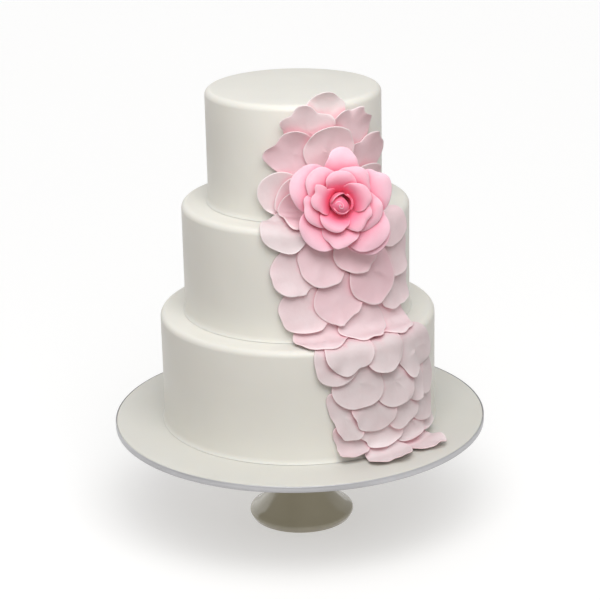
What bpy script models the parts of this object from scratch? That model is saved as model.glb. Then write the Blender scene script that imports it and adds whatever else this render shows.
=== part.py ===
"""Three-tier wedding cake on its covered board and pedestal stand, with a cascade of sugar petals and one sugar rose.

Metres, +Z up. The origin is on the floor under the middle of the stand, and -Y is the front of the cake.
The petals are laid one by one, each on the tier and on the petals that are already there.
"""

import math
import random
from collections import namedtuple

import bmesh
import bpy
from mathutils import Matrix, Vector
from mathutils.bvhtree import BVHTree

# Stand, board and tiers
REST_GAP = 0.0003
STAND_HEIGHT = 0.100
PLATE_RADIUS = 0.125
PLATE_THICKNESS = 0.008
FOOT_RADIUS = 0.050
FOOT_RING = 0.006
FOOT_RECESS = 0.0025
STEM_RADIUS = 0.017
BOARD_RADIUS = 0.1745
BOARD_THICKNESS = 0.0062
BOARD_EDGE = 0.0012
RIBBON_THICKNESS = 0.0008
TOP_RADIUS, MIDDLE_RADIUS, BOTTOM_RADIUS = 0.080, 0.105, 0.1285
TOP_HEIGHT, MIDDLE_HEIGHT, BOTTOM_HEIGHT = 0.105, 0.104, 0.107
TIER_EDGE = 0.006
TIER_SKIRT = 0.003
ROUND_SIDES = 56
BOARD_SIDES = 64

BOARD_BASE = STAND_HEIGHT + REST_GAP
BOTTOM_BASE = BOARD_BASE + BOARD_THICKNESS + REST_GAP
MIDDLE_BASE = BOTTOM_BASE + BOTTOM_HEIGHT
TOP_BASE = MIDDLE_BASE + MIDDLE_HEIGHT
CAKE_TOP = TOP_BASE + TOP_HEIGHT

# Petals
PETAL_THICKNESS = 0.0010
PETAL_RIM = 0.0008
PETAL_GAP = 0.00045
PETAL_SIDES = 11
PETAL_RINGS = (0.45, 0.8, 1.0)
ROOT_NARROWING = 0.34
FULL_WIDTH = 0.93
ROSE_NARROWING = 0.55
ROOT_LIFT = 0.0006
COVER_HOLLOW = 0.014
COVER_EDGE = 0.008
RAY_REACH = 0.030
SAMPLE_STEPS = 9
SETTLE_PASSES = 7
DISHED = {"t": 2.2, "m": 1.2, "r": 1.0, "b": 1.0}

# One line for each petal, in the order they are laid. Angle is in degrees round the cake from its front, drop is
# from the tier's top edge down the cover to the petal's middle, and turn is where its free edge points: 0 is down,
# 90 is to the right and 180 is up. Flare lifts the free edge, and ruffle is the height of its waves. All in mm.
Petal = namedtuple("Petal", "name tier angle drop width length turn flare ruffle")
PETALS = (
    Petal("b17", "bottom", 51.5, 113.5, 42, 46, 24, 3.0, 2.6),
    Petal("b16", "bottom", 33.5, 112, 48, 44, 0, 3.0, 2.4),
    Petal("b15", "bottom", 20, 88, 37, 44, 4, 4.5, 1.8),
    Petal("b14", "bottom", 59.5, 82, 38, 46, 0, 4.0, 1.4),
    Petal("b13", "bottom", 49, 84, 42, 50, 0, 4.0, 1.2),
    Petal("b12", "bottom", 34, 80, 46, 48, -4, 4.0, 1.6),
    Petal("b11", "bottom", 57, 65, 42, 48, 4, 4.0, 1.4),
    Petal("b8", "bottom", 17, 64, 30, 52, 26, 4.5, 1.4),
    Petal("b10", "bottom", 44, 63, 41, 48, 0, 4.5, 1.4),
    Petal("b9", "bottom", 30, 59, 46, 48, -6, 4.5, 1.6),
    Petal("b7_right", "bottom", 58.5, 40, 40, 48, 4, 4.0, 1.4),
    Petal("b7", "bottom", 49.5, 43, 31, 47, 2, 4.5, 2.4),
    Petal("b6", "bottom", 40, 39, 43, 48, 4, 4.5, 0.8),
    Petal("b5", "bottom", 23.5, 34, 49, 48, -3, 4.5, 0.6),
    Petal("b1", "bottom", 14.3, 10, 42, 46, 0, 3.5, 0.8),
    Petal("b4", "bottom", 53, 17, 52, 52, -2, 5.0, 2.2),
    Petal("b3", "bottom", 35, 2.5, 41, 52, 2, 6.0, 2.0),
    Petal("b2", "bottom", 20, 3.5, 46, 44, 4, 6.5, 2.2),
    Petal("m11", "middle", 50, 96, 46, 52, 6, 1.6, 0.8),
    Petal("m12", "middle", 10.5, 99, 50, 46, 0, 1.4, 0.5),
    Petal("m10", "middle", 32, 93, 50, 52, 0, 1.8, 0.7),
    Petal("m9", "middle", 3, 72, 46, 48, -4, 4.5, 0.8),
    Petal("m7", "middle", 57, 66, 48, 46, 0, 3.5, 1.6),
    Petal("m8", "middle", 20, 63, 46, 50, 4, 4.5, 1.2),
    Petal("m6", "middle", 54, 32, 50, 48, 4, 3.5, 1.4),
    Petal("m5", "middle", 38, 45.5, 48, 60, 4, 4.5, 0.9),
    Petal("m2", "middle", -1, 36, 43, 46, -6, 4.5, 1.4),
    Petal("m3", "middle", 12, 26.5, 47, 50, -2, 4.5, 0.9),
    Petal("m4", "middle", 29, 20, 45, 46, 4, 4.5, 0.6),
    Petal("r1", "middle", 53, 5, 48, 44, 14, 3.5, 1.2),
    Petal("t1", "top", 20.5, 11, 42, 47, 184, 8.5, 1.8),
    Petal("t3", "top", 36.5, 26.5, 43, 47, 168, 8.5, 2.4),
    Petal("t2", "top", 8, 22, 46, 50, 190, 9.0, 2.2),
    Petal("t6", "top", 49, 54, 47, 49, 165, 6.0, 2.0),
    Petal("t4", "top", -1.5, 43, 43, 45, 205, 9.0, 1.8),
    Petal("t5", "top", 21, 43, 45, 50, 182, 9.0, 2.0),
    Petal("t7", "top", 48.5, 82, 46, 46, 171, 3.5, 1.4),
    Petal("t8", "top", -6, 80, 44, 44, 262, 5.0, 1.4),
    Petal("t9", "top", 3.5, 85, 46, 42, 262, 5.5, 1.4),
    Petal("m1", "middle", -4.5, -3, 44, 46, -16, 4.0, 1.6),
    Petal("t10", "top", 4, 98, 46, 42, 270, 5.0, 1.2),
)

# Where a petal's rim bulges or draws in, as the maker's fingers left it: (turn, out, lift, spread). Turn goes round
# the petal from the middle of its free edge, seen with that edge down: 90 is its left side. Turns and spreads are
# in degrees, and out and lift in mm. A fold that is narrower than FOLD_LEAST is made that wide and less deep.
FOLD_LEAST = 20
FOLDS = {
    "t1": ((-15, 2.0, 1.5, 20), (30, -3.5, -1.0, 22), (75, -4.0, 0.0, 28)),
    "t2": ((-55, 0.5, 2.5, 12), (-32, -4.5, 0.0, 16), (-78, -4.0, 0.0, 22), (2, 1.5, 2.5, 16), (38, -6.5, -1.0, 22)),
    "t3": ((-14, -3.8, -1.5, 15), (4, 2.6, 4.5, 9), (27, -5.0, 0.0, 18), (65, -1.5, 0.0, 20)),
    "t4": ((-25, -6.0, 1.0, 26), (-70, 1.0, 3.0, 14), (35, 1.0, 1.5, 20)),
    "t5": ((-55, -1.2, 0.0, 16), (10, 0.8, 2.0, 20), (60, -2.0, 0.0, 14)),
    "t6": ((-37, -7.0, -1.0, 22), (2, 0.5, 2.0, 10), (30, -3.0, 0.0, 16)),
    "t8": ((25, 1.5, 1.0, 20), (-35, -2.0, 0.0, 25)),
    "t10": ((-60, 3.0, 1.0, 30), (0, -1.0, 0.0, 15)),
    "m1": ((5, -2.0, 1.0, 22), (-30, 0.0, 2.0, 15), (-60, -2.5, 0.0, 20)),
    "m2": ((62, -2.2, 0.0, 16), (-28, 1.2, 2.5, 10), (-42, -1.5, 0.0, 8)),
    "m3": ((70, -3.2, 0.0, 25), (30, -2.0, 0.0, 18), (-35, 0.8, 2.0, 10)),
    "m4": ((30, -1.5, 0.0, 20), (-15, 0.5, 2.0, 12), (-32, -2.5, 0.0, 14)),
    "m5": ((30, -1.2, 0.0, 15), (-8, 0.5, 1.5, 12)),
    "m6": ((-30, 1.2, 1.0, 20),),
    "m7": ((55, 2.0, 0.0, 15), (0, -3.5, 0.0, 15), (-28, -4.0, 1.0, 16)),
    "m8": ((3, 1.2, 3.0, 7), (-30, -3.6, 0.0, 18), (-60, -1.8, 0.0, 14)),
    "m9": ((62, -3.2, 0.0, 20), (-35, 0.3, 1.5, 14)),
    "m10": ((30, 1.5, 0.0, 18), (0, -2.5, 1.0, 16)),
    "m11": ((58, 4.0, 0.0, 20), (0, -4.0, 0.0, 22)),
    "m12": ((0, -2.5, 0.0, 24),),
    "b1": ((70, -3.0, 0.0, 25),),
    "b2": ((60, -3.2, 0.0, 26), (15, 0.0, 3.0, 12), (-20, -6.0, -1.0, 22), (-60, -3.0, 0.0, 16)),
    "b3": ((15, -2.0, 1.0, 22), (-62, 2.3, 0.0, 20), (-30, -1.5, 0.0, 14)),
    "b4": ((50, -3.6, 1.0, 22), (22, 1.0, 2.5, 12), (-8, -8.5, 0.0, 20), (-42, -4.5, 0.0, 22)),
    "b5": ((-5, -1.5, 0.0, 20),),
    "b7": ((20, -3.0, 0.0, 25), (60, -4.0, 1.0, 18)),
    "b8": ((120, -2.5, 0.0, 20), (85, -5.5, 0.0, 22), (55, -3.0, 2.0, 14), (10, -2.0, 1.0, 25)),
    "b9": ((62, -4.0, 1.0, 18), (10, -1.8, 0.0, 25)),
    "b10": ((-25, -3.0, 0.0, 30),),
    "b12": ((78, 1.0, 2.5, 8), (55, -4.0, 0.0, 14), (15, 0.0, 2.0, 14), (-40, -1.0, 0.0, 20)),
    "b15": ((125, 2.5, 1.0, 14), (80, -5.5, 0.0, 22), (55, -3.0, 0.0, 12), (20, 0.0, 2.0, 16)),
    "b16": ((-100, 4.0, 0.5, 28), (90, -3.5, 0.0, 20), (28, -3.5, 0.0, 16), (8, -3.5, 3.0, 14), (-15, 0.5, 3.0, 12)),
    "b17": ((54, -4.5, 0.0, 18), (25, -1.0, 3.0, 12), (0, 1.0, 0.0, 12)),
    "rose_lower_right": ((60, -3.0, 0.0, 20), (-45, 1.0, 1.5, 14)),
    "rose_lower_right_back": ((-20, 1.0, 1.0, 14),),
    "rose_lower_left": ((-20, -1.5, 0.0, 25), (35, 0.5, 1.5, 14)),
    "rose_top": ((-32, -2.5, 0.0, 18), (55, -2.0, 2.0, 16), (-60, -2.5, 0.0, 20), (8, 0.5, 2.0, 14)),
    "rose_right": ((38, -5.5, -1.0, 22), (75, -3.0, 0.0, 20), (-30, -2.5, 0.0, 25), (12, 1.0, 2.0, 12)),
    "rose_upper_left": ((45, -3.5, 0.0, 30), (-50, 0.5, 2.0, 14), (-20, -1.0, 0.0, 12)),
    "rose_bottom": ((-12, 2.0, 1.0, 12), (30, -2.5, 0.0, 20), (-35, -2.0, 0.0, 16)),
    "rose_inner_right": ((60, -3.0, 0.0, 25), (28, 0.5, 1.5, 12), (-30, -1.5, 0.0, 20)),
    "rose_inner_upper_right": ((35, -3.0, 0.0, 25), (-5, 1.0, 1.5, 12), (-45, -4.0, 0.0, 25)),
    "rose_inner_upper_left": ((50, -3.0, 0.0, 25), (-60, -2.0, 0.0, 20), (-20, 0.5, 1.5, 12)),
    "rose_inner_left": ((-38, 2.5, 2.0, 12), (-15, -1.5, 0.0, 10), (42, -1.5, 0.0, 20)),
    "rose_inner_lower_right": ((5, -3.0, 0.0, 13), (-26, 1.5, 1.0, 9), (32, 0.5, 1.0, 12), (-60, -2.0, 0.0, 20)),
    "rose_inner_top": ((75, -2.5, 0.0, 25), (-30, 0.5, 1.0, 14)),
    "rose_inner_bottom": ((55, -3.0, 0.0, 25),),
    "rose_heart_right": ((45, -2.0, 0.0, 25), (-25, 1.3, 1.0, 15)),
    "rose_heart_left": ((-30, 5.0, 3.5, 11), (-12, -2.5, 0.0, 9), (-72, -6.0, 0.0, 24), (62, -3.5, 0.0, 22)),
}

# The rose faces the front of the cake. Around is where a petal points, seen from the front of the flower: 0 is
# right and 90 is up. Reach is from the flower's axis to the tip, rise is the tip's height over the flower's back,
# belly is the (reach, rise) that the petal curves toward, cup is its sideways bend, curl rolls its rim back, droop
# lets its two sides fall, and lean lifts one side over the next petal. All in mm and degrees.
ROSE_ANGLE, ROSE_OUT, ROSE_UP = 22.3, 0.098, 0.339
ROSE_FACING, ROSE_TILT = 6.0, 11.0
ROSE_ROOT = (6.0, 0.4)
ROSE_ROOT_TOP = 8.0
ROSE_SIDES = 10
ROSE_RINGS = (0.62, 1.0)
RosePetal = namedtuple("RosePetal", "name around reach width rise belly cup curl droop lean")
ROSE_PETALS = (
    RosePetal("lower_right_back", -49, 55, 46, 16, (30, 13), 45, 2.0, 1.0, 0.5),
    RosePetal("lower_right", -45, 51, 48, 21, (30, 18), 45, 2.5, 2.0, 1.5),
    RosePetal("lower_left", 231, 46, 44, 21, (28, 18), 45, 2.5, 2.0, -1.5),
    RosePetal("top", 84, 48, 34, 15, (28, 21), 45, 2.5, 2.0, 1.5),
    RosePetal("right", 20, 48, 46, 17, (28, 23), 45, 2.5, 2.5, 1.5),
    RosePetal("upper_left", 152, 47.5, 47, 17, (28, 23), 45, 3.0, 2.5, 1.5),
    RosePetal("bottom", 268, 38.5, 35, 24.5, (24, 21), 40, 2.0, 2.0, 1.0),
    RosePetal("inner_right", -20, 37, 40, 22, (22, 25), 36, 2.0, 2.0, 1.5),
    RosePetal("inner_upper_right", 56, 35.5, 37, 22, (22, 27), 36, 2.0, 2.0, 1.5),
    RosePetal("inner_upper_left", 133, 37.5, 36, 22, (22, 27), 34, 2.0, 2.0, 1.5),
    RosePetal("inner_left", 193, 33, 35, 24, (20, 26), 32, 2.0, 2.0, 1.5),
    RosePetal("inner_lower_right", -40, 28.5, 33, 26, (18, 27), 28, 2.0, 1.5, 1.2),
    RosePetal("inner_top", 91, 28.5, 32, 26, (18, 29), 24, 1.5, 1.0, 1.0),
    RosePetal("inner_bottom", 247, 25, 30, 28, (16, 28), 26, 1.5, 1.5, 1.0),
    RosePetal("heart_right", 25, 26, 31, 28.5, (14, 31), 20, 1.5, 1.0, 1.0),
    RosePetal("heart_left", 163, 27, 31, 28.5, (14, 31), 20, 1.5, 1.0, 1.0),
    RosePetal("bud_upper_left", 130, 9.6, 22, 31.5, (12, 20), 9, 0.5, 0.0, 0.5),
    RosePetal("bud_right", 10, 8.8, 21, 31.5, (11.5, 20), 8.5, 0.5, 0.0, 0.5),
    RosePetal("bud_bottom", 255, 8.2, 21, 32, (11, 20), 8, 0.5, 0.0, 0.5),
)
ROSE_BUD = ((0.0, 2.0), (6.0, 6.0), (7.6, 14.0), (7.2, 24.0), (6.2, 28.5), (4.4, 31.9), (1.6, 34.8), (0.0, 35.6))
ROSE_BACK_RADIUS, ROSE_BACK_FRONT = 11.0, 12.0
MILLIMETRE = 0.001


def material(name, colour, roughness, metallic=0.0):
    """A Principled BSDF with the part's colour."""
    made = bpy.data.materials.new(name)
    made.use_nodes = True
    shader = made.node_tree.nodes["Principled BSDF"]
    shader.inputs["Base Color"].default_value = (*colour, 1.0)
    shader.inputs["Roughness"].default_value = roughness
    shader.inputs["Metallic"].default_value = metallic
    return made


def mesh_object(name, points, faces, finish, sharp_degrees=40):
    """A named object of these points and faces, with its normals outward and its rounds shaded smooth."""
    mesh = bpy.data.meshes.new(name)
    mesh.from_pydata(points, [], faces)
    shape = bmesh.new()
    shape.from_mesh(mesh)
    bmesh.ops.recalc_face_normals(shape, faces=shape.faces)
    shape.to_mesh(mesh)
    shape.free()
    mesh.materials.append(finish)
    mesh.shade_smooth()
    mesh.set_sharp_from_angle(angle=math.radians(sharp_degrees))
    made = bpy.data.objects.new(name, mesh)
    bpy.context.scene.collection.objects.link(made)
    return made


def arc(centre_r, centre_z, radius, start, end, steps):
    """Points (r, z) along an arc from start to end degrees, both ends included."""
    turns = (math.radians(start + (end - start) * i / steps) for i in range(steps + 1))
    return [(centre_r + radius * math.cos(t), centre_z + radius * math.sin(t)) for t in turns]


def turned(name, profile, finish, sides=ROUND_SIDES, closed=False):
    """A solid turned round Z. The profile is (r, z) points, and a closed one is the section of a ring."""
    points, faces, rings = [], [], []
    for r, z in profile:
        if r < 1e-6:
            rings.append([len(points)])
            points.append((0.0, 0.0, z))
            continue
        rings.append([len(points) + i for i in range(sides)])
        turns = (2 * math.pi * i / sides for i in range(sides))
        points += [(r * math.cos(t), r * math.sin(t), z) for t in turns]
    pairs = list(zip(rings, rings[1:]))
    if closed:
        pairs.append((rings[-1], rings[0]))
    for low, high in pairs:
        for i in range(sides):
            j = (i + 1) % sides
            corners = [low[i % len(low)], low[j % len(low)], high[j % len(high)], high[i % len(high)]]
            faces.append(list(dict.fromkeys(corners)))
    return mesh_object(name, points, faces, finish)


def stand(finish):
    """Glazed pedestal: a flared foot on a foot ring, a slim stem and a flat plate."""
    under = STAND_HEIGHT - PLATE_THICKNESS
    profile = [
        (0.0, FOOT_RECESS),
        (FOOT_RADIUS - 2 * FOOT_RING, FOOT_RECESS),
        (FOOT_RADIUS - 2 * FOOT_RING, 0.0),
        (FOOT_RADIUS - 0.002, 0.0),
        *arc(FOOT_RADIUS - 0.003, 0.0045, 0.003, -50, 50, 2),
    ]
    # The foot's trumpet narrows with the height above its lip, and the neck opens again under the plate.
    lip, neck = profile[-1][1], under - 0.004
    flare_r = FOOT_RADIUS - 0.0025 - STEM_RADIUS
    for i in range(1, 7):
        share = i / 6
        profile.append((STEM_RADIUS + flare_r * (1 - share) ** 1.9, lip + 0.052 * share))
    profile += [(STEM_RADIUS + 0.001, neck - 0.012), (STEM_RADIUS + 0.006, neck - 0.004), (STEM_RADIUS + 0.016, neck)]
    profile += [(PLATE_RADIUS - 0.012, under)]
    profile += arc(PLATE_RADIUS - 0.003, under + 0.003, 0.003, -60, 0, 1)
    profile += arc(PLATE_RADIUS - 0.002, STAND_HEIGHT - 0.002, 0.002, 0, 90, 1)
    profile += [(0.0, STAND_HEIGHT)]
    return turned("stand", profile, finish, sides=32)


def board(finish):
    """The cake board under its sugar paste, with a softly rounded top edge."""
    top = BOARD_BASE + BOARD_THICKNESS
    profile = [(0.0, BOARD_BASE), (BOARD_RADIUS, BOARD_BASE)]
    profile += arc(BOARD_RADIUS - BOARD_EDGE, top - BOARD_EDGE, BOARD_EDGE, 0, 90, 1)
    profile += [(0.0, top)]
    return turned("board", profile, finish, sides=BOARD_SIDES)


def ribbon(finish):
    """The band glued round the board's edge."""
    inner = BOARD_RADIUS + REST_GAP
    low, high = BOARD_BASE + REST_GAP, BOARD_BASE + BOARD_THICKNESS - REST_GAP
    outer = inner + RIBBON_THICKNESS
    return turned("board_ribbon", [(inner, low), (outer, low), (outer, high), (inner, high)], finish, BOARD_SIDES, True)


def tier(name, radius, base, height, finish):
    """One covered tier: a small skirt where the paste meets the surface below, and a rounded top edge."""
    top = base + height - REST_GAP
    profile = [(0.0, base), (radius + TIER_SKIRT * 0.6, base), (radius + TIER_SKIRT * 0.15, base + TIER_SKIRT * 0.6)]
    profile += [(radius, base + TIER_SKIRT * 1.6)]
    profile += arc(radius - TIER_EDGE, top - TIER_EDGE, TIER_EDGE, 0, 90, 3)
    profile += [(0.0, top)]
    return turned(name, profile, finish)


class Cover:
    """The surface that the petals are laid over: down each tier's side, out over its ledge and onto the board.

    The corner at the foot of each side is bridged by a wide hollow curve, as a stiff petal bridges it.
    """

    def __init__(self):
        self.pieces, self.start = [], {}
        self.length = 0.0
        tiers = (("top", TOP_RADIUS, CAKE_TOP), ("middle", MIDDLE_RADIUS, TOP_BASE), ("bottom", BOTTOM_RADIUS, MIDDLE_BASE))
        floors = (TOP_BASE, MIDDLE_BASE, BOTTOM_BASE)
        ledge_ends = (MIDDLE_RADIUS, BOTTOM_RADIUS, BOARD_RADIUS + COVER_EDGE)
        for (name, radius, top), floor, ledge_end in zip(tiers, floors, ledge_ends):
            first = top if name == "top" else top - COVER_EDGE
            self.start[name] = self.length - (top - first)
            self.line((radius, first), (radius, floor + COVER_HOLLOW))
            self.bend((radius + COVER_HOLLOW, floor + COVER_HOLLOW), COVER_HOLLOW, 180, 270)
            self.line((radius + COVER_HOLLOW, floor), (ledge_end - COVER_EDGE, floor))
            self.bend((ledge_end - COVER_EDGE, floor - COVER_EDGE), COVER_EDGE, 90, 0)

    def line(self, start, end):
        self.pieces.append((self.length, "line", start, end))
        self.length += math.dist(start, end)

    def bend(self, centre, radius, start, end):
        self.pieces.append((self.length, "bend", centre, (radius, start, end)))
        self.length += radius * math.radians(abs(end - start))

    def at(self, along):
        """(r, z) and its outward normal, this far along the cover. Above the cake's top it runs straight up."""
        begin, kind, first, second = [p for p in self.pieces if p[0] <= max(along, 0.0)][-1]
        if kind == "line":
            run = (second[0] - first[0], second[1] - first[1])
            size = math.hypot(*run)
            step = (run[0] / size, run[1] / size)
            past = along - begin
            return (first[0] + step[0] * past, first[1] + step[1] * past), (-step[1], step[0])
        radius, start, end = second
        turn = math.radians(start + (end - start) * (along - begin) / (radius * math.radians(abs(end - start))))
        outward = (math.cos(turn), math.sin(turn))
        point = (first[0] + radius * outward[0], first[1] + radius * outward[1])
        return point, outward if end < start else (-outward[0], -outward[1])

    def place(self, angle, along, lift):
        """The point lifted off the cover, and the cover's normal there. The angle is in radians from the front."""
        (r, z), (normal_r, normal_z) = self.at(along)
        ahead = Vector((math.sin(angle), -math.cos(angle), 0.0))
        normal = ahead * normal_r + Vector((0.0, 0.0, normal_z))
        return ahead * r + Vector((0.0, 0.0, z)) + normal * lift, normal


def petal_grid(sides, rings):
    """Polar grid of a petal: (share of the way to the rim, turn from the free edge) points and their triangles."""
    points = [(0.0, 0.0)]
    for share in rings:
        points += [(share, 2 * math.pi * i / sides) for i in range(sides)]
    triangles = [(0, 1 + i, 1 + (i + 1) % sides) for i in range(sides)]
    for ring in range(len(rings) - 1):
        inner, outer = 1 + ring * sides, 1 + (ring + 1) * sides
        for i in range(sides):
            j = (i + 1) % sides
            triangles += [(inner + i, outer + i, outer + j), (inner + i, outer + j, inner + j)]
    return points, triangles


def folded(name, turn):
    """How far a petal's folds move its rim out and lift it at this turn, in mm."""
    out = lift = 0.0
    for at, bulge, rise, spread in FOLDS.get(name, ()):
        away = (math.degrees(turn) - at + 180) % 360 - 180
        width = max(spread, FOLD_LEAST)
        share = spread / width * math.exp(-((away / width) ** 2))
        out += bulge * share
        lift += rise * share
    return out, lift


def petal_form(petal, share, turn, waves):
    """(across, along, lift) of a petal's point in metres, before it is turned and laid."""
    root = (1 - math.cos(turn)) / 2
    wave = sum(size * math.cos(count * turn + phase) for count, size, phase in waves)
    out, raised = folded(petal.name, turn)
    out *= share**2
    reach = share * (1 + 0.02 * wave * (1 - 0.7 * root))
    across = reach * petal.width / 2 / FULL_WIDTH * math.sin(turn) * (1 - ROOT_NARROWING * root**2) + out * math.sin(turn)
    along = reach * petal.length / 2 * math.cos(turn) + out * math.cos(turn)
    toward_tip = max(along / petal.length + 0.5, 0.0)
    lift = petal.flare * toward_tip**2.3 + raised * share**4 + DISHED[petal.name[0]] * share**2.5 * (1 - 0.7 * root)
    lift += petal.ruffle * wave * share**3 * (1 - 0.8 * root)
    return across * MILLIMETRE, along * MILLIMETRE, ROOT_LIFT + max(lift, 0.0) * MILLIMETRE


def sample_weights(steps):
    """Even barycentric weights over a triangle, its corners included."""
    pairs = ((i, j) for i in range(steps + 1) for j in range(steps + 1 - i))
    return [(i / steps, j / steps, (steps - i - j) / steps) for i, j in pairs]


def settle(place, spots, triangles, below):
    """Raises a sheet's points until its underside is clear of everything below it."""
    weights = sample_weights(SAMPLE_STEPS)
    lifts = [lift for _, _, lift in spots]
    for turn in range(SETTLE_PASSES):
        last = turn == SETTLE_PASSES - 1
        placed = [place(first, second, lift) for (first, second, _), lift in zip(spots, lifts)]
        raises = [0.0] * len(spots)
        for triangle in triangles:
            for weight in weights:
                point, normal = (sum((placed[c][k] * w for c, w in zip(triangle, weight)), Vector()) for k in (0, 1))
                normal.normalize()
                hit = below.ray_cast(point + normal * RAY_REACH, -normal, 2 * RAY_REACH)[3]
                short = 0.0 if hit is None else RAY_REACH - hit + PETAL_GAP
                if short <= 0.0:
                    continue
                spread = sum(w * w for w in weight)
                for corner, w in zip(triangle, weight):
                    raises[corner] = max(raises[corner], short if last else short * w / spread)
        if max(raises) == 0.0:
            break
        lifts = [lift + extra for lift, extra in zip(lifts, raises)]
    return lifts


def laid_petal(cover, petal, below, finish):
    """One petal, laid over the cover on what is already there."""
    draw = random.Random(petal.name)
    waves = [(count, size, draw.uniform(0, 2 * math.pi)) for count, size in ((2, 0.5), (3, 0.8), (5, 0.5))]
    grid, triangles = petal_grid(PETAL_SIDES, PETAL_RINGS)
    middle = cover.start[petal.tier] + petal.drop * MILLIMETRE
    turn = math.radians(petal.turn)
    spots = []
    for share, around in grid:
        across, along, lift = petal_form(petal, share, around, waves)
        sideways = along * math.sin(turn) - across * math.cos(turn)
        down = middle + along * math.cos(turn) + across * math.sin(turn)
        radius = cover.at(down)[0][0]
        spots.append((math.radians(petal.angle) + sideways / radius, down, lift))
    lifts = settle(cover.place, spots, triangles, below)
    thickness = [PETAL_THICKNESS + (PETAL_RIM - PETAL_THICKNESS) * share for share, _ in grid]
    under = [cover.place(a, d, lift)[0] for (a, d, _), lift in zip(spots, lifts)]
    over = [cover.place(a, d, lift + t)[0] for (a, d, _), lift, t in zip(spots, lifts, thickness)]
    return mesh_object("petal_" + petal.name, under + over, sheet_faces(triangles, len(grid), PETAL_SIDES), finish)


def sheet_faces(triangles, count, sides):
    """Both sides of a sheet, split into the same triangles, and the rim between them."""
    rim = [count - sides + i for i in range(sides)]
    faces = [tuple(reversed(t)) for t in triangles] + [tuple(c + count for c in t) for t in triangles]
    for i, j in zip(rim, rim[1:] + rim[:1]):
        faces += [(i, j, j + count), (i, j + count, i + count)]
    return faces


def rose_frame():
    """Where the rose sits: its own X is to the right, Y is up the flower and Z is out along its axis."""
    angle, facing, tilt = (math.radians(a) for a in (ROSE_ANGLE, ROSE_FACING, ROSE_TILT))
    out = Vector((math.sin(facing) * math.cos(tilt), -math.cos(facing) * math.cos(tilt), math.sin(tilt)))
    right = Vector((math.cos(facing), math.sin(facing), 0.0))
    axes = Matrix((right, out.cross(right), out)).transposed().to_4x4()
    return Matrix.Translation((ROSE_OUT * math.sin(angle), -ROSE_OUT * math.cos(angle), ROSE_UP)) @ axes


def blunted(value):
    """A sine or cosine that makes a round outline a little squarer."""
    return math.copysign(abs(value) ** 0.85, value)


def rose_form(petal, share, turn, waves):
    """A rose petal's point in the flower's own axes, in millimetres."""
    root = (1 - math.cos(turn)) / 2
    wave = sum(size * math.cos(count * turn + phase) for count, size, phase in waves)
    out_fold, raised = folded("rose_" + petal.name, turn)
    run = 0.5 + 0.5 * share * blunted(math.cos(turn)) + out_fold * math.cos(turn) * share**2 / petal.reach
    sideways = share * (1 + 0.04 * wave * (1 - root)) * petal.width / 2 / FULL_WIDTH * blunted(math.sin(turn))
    sideways *= 1 - ROSE_NARROWING * root**2
    sideways += out_fold * math.sin(turn) * share**2
    side = sideways / petal.width * 2
    weights = ((1 - run) ** 2, 2 * run * (1 - run), run**2)
    start = (ROSE_ROOT[0], min(ROSE_ROOT[1] * petal.rise, ROSE_ROOT_TOP))
    out, rise = (sum(w * p for w, p in zip(weights, line)) for line in zip(start, petal.belly, (petal.reach, petal.rise)))
    out -= petal.cup * (1 - math.cos(sideways / petal.cup))
    across = petal.cup * math.sin(sideways / petal.cup)
    edge = share**4
    rise += edge * (wave * petal.curl * 0.5 - petal.curl * (1 - root) + raised)
    rise += run * (petal.lean * side - petal.droop * side**2)
    toward = math.radians(petal.around)
    x = out * math.cos(toward) - across * math.sin(toward)
    y = out * math.sin(toward) + across * math.cos(toward)
    return x, y, rise


def normals_of(points, triangles):
    """Smooth normals of an open sheet, one for each point."""
    normals = [Vector() for _ in points]
    for a, b, c in triangles:
        face = (points[b] - points[a]).cross(points[c] - points[a])
        for corner in (a, b, c):
            normals[corner] += face
    return [n.normalized() for n in normals]


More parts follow.
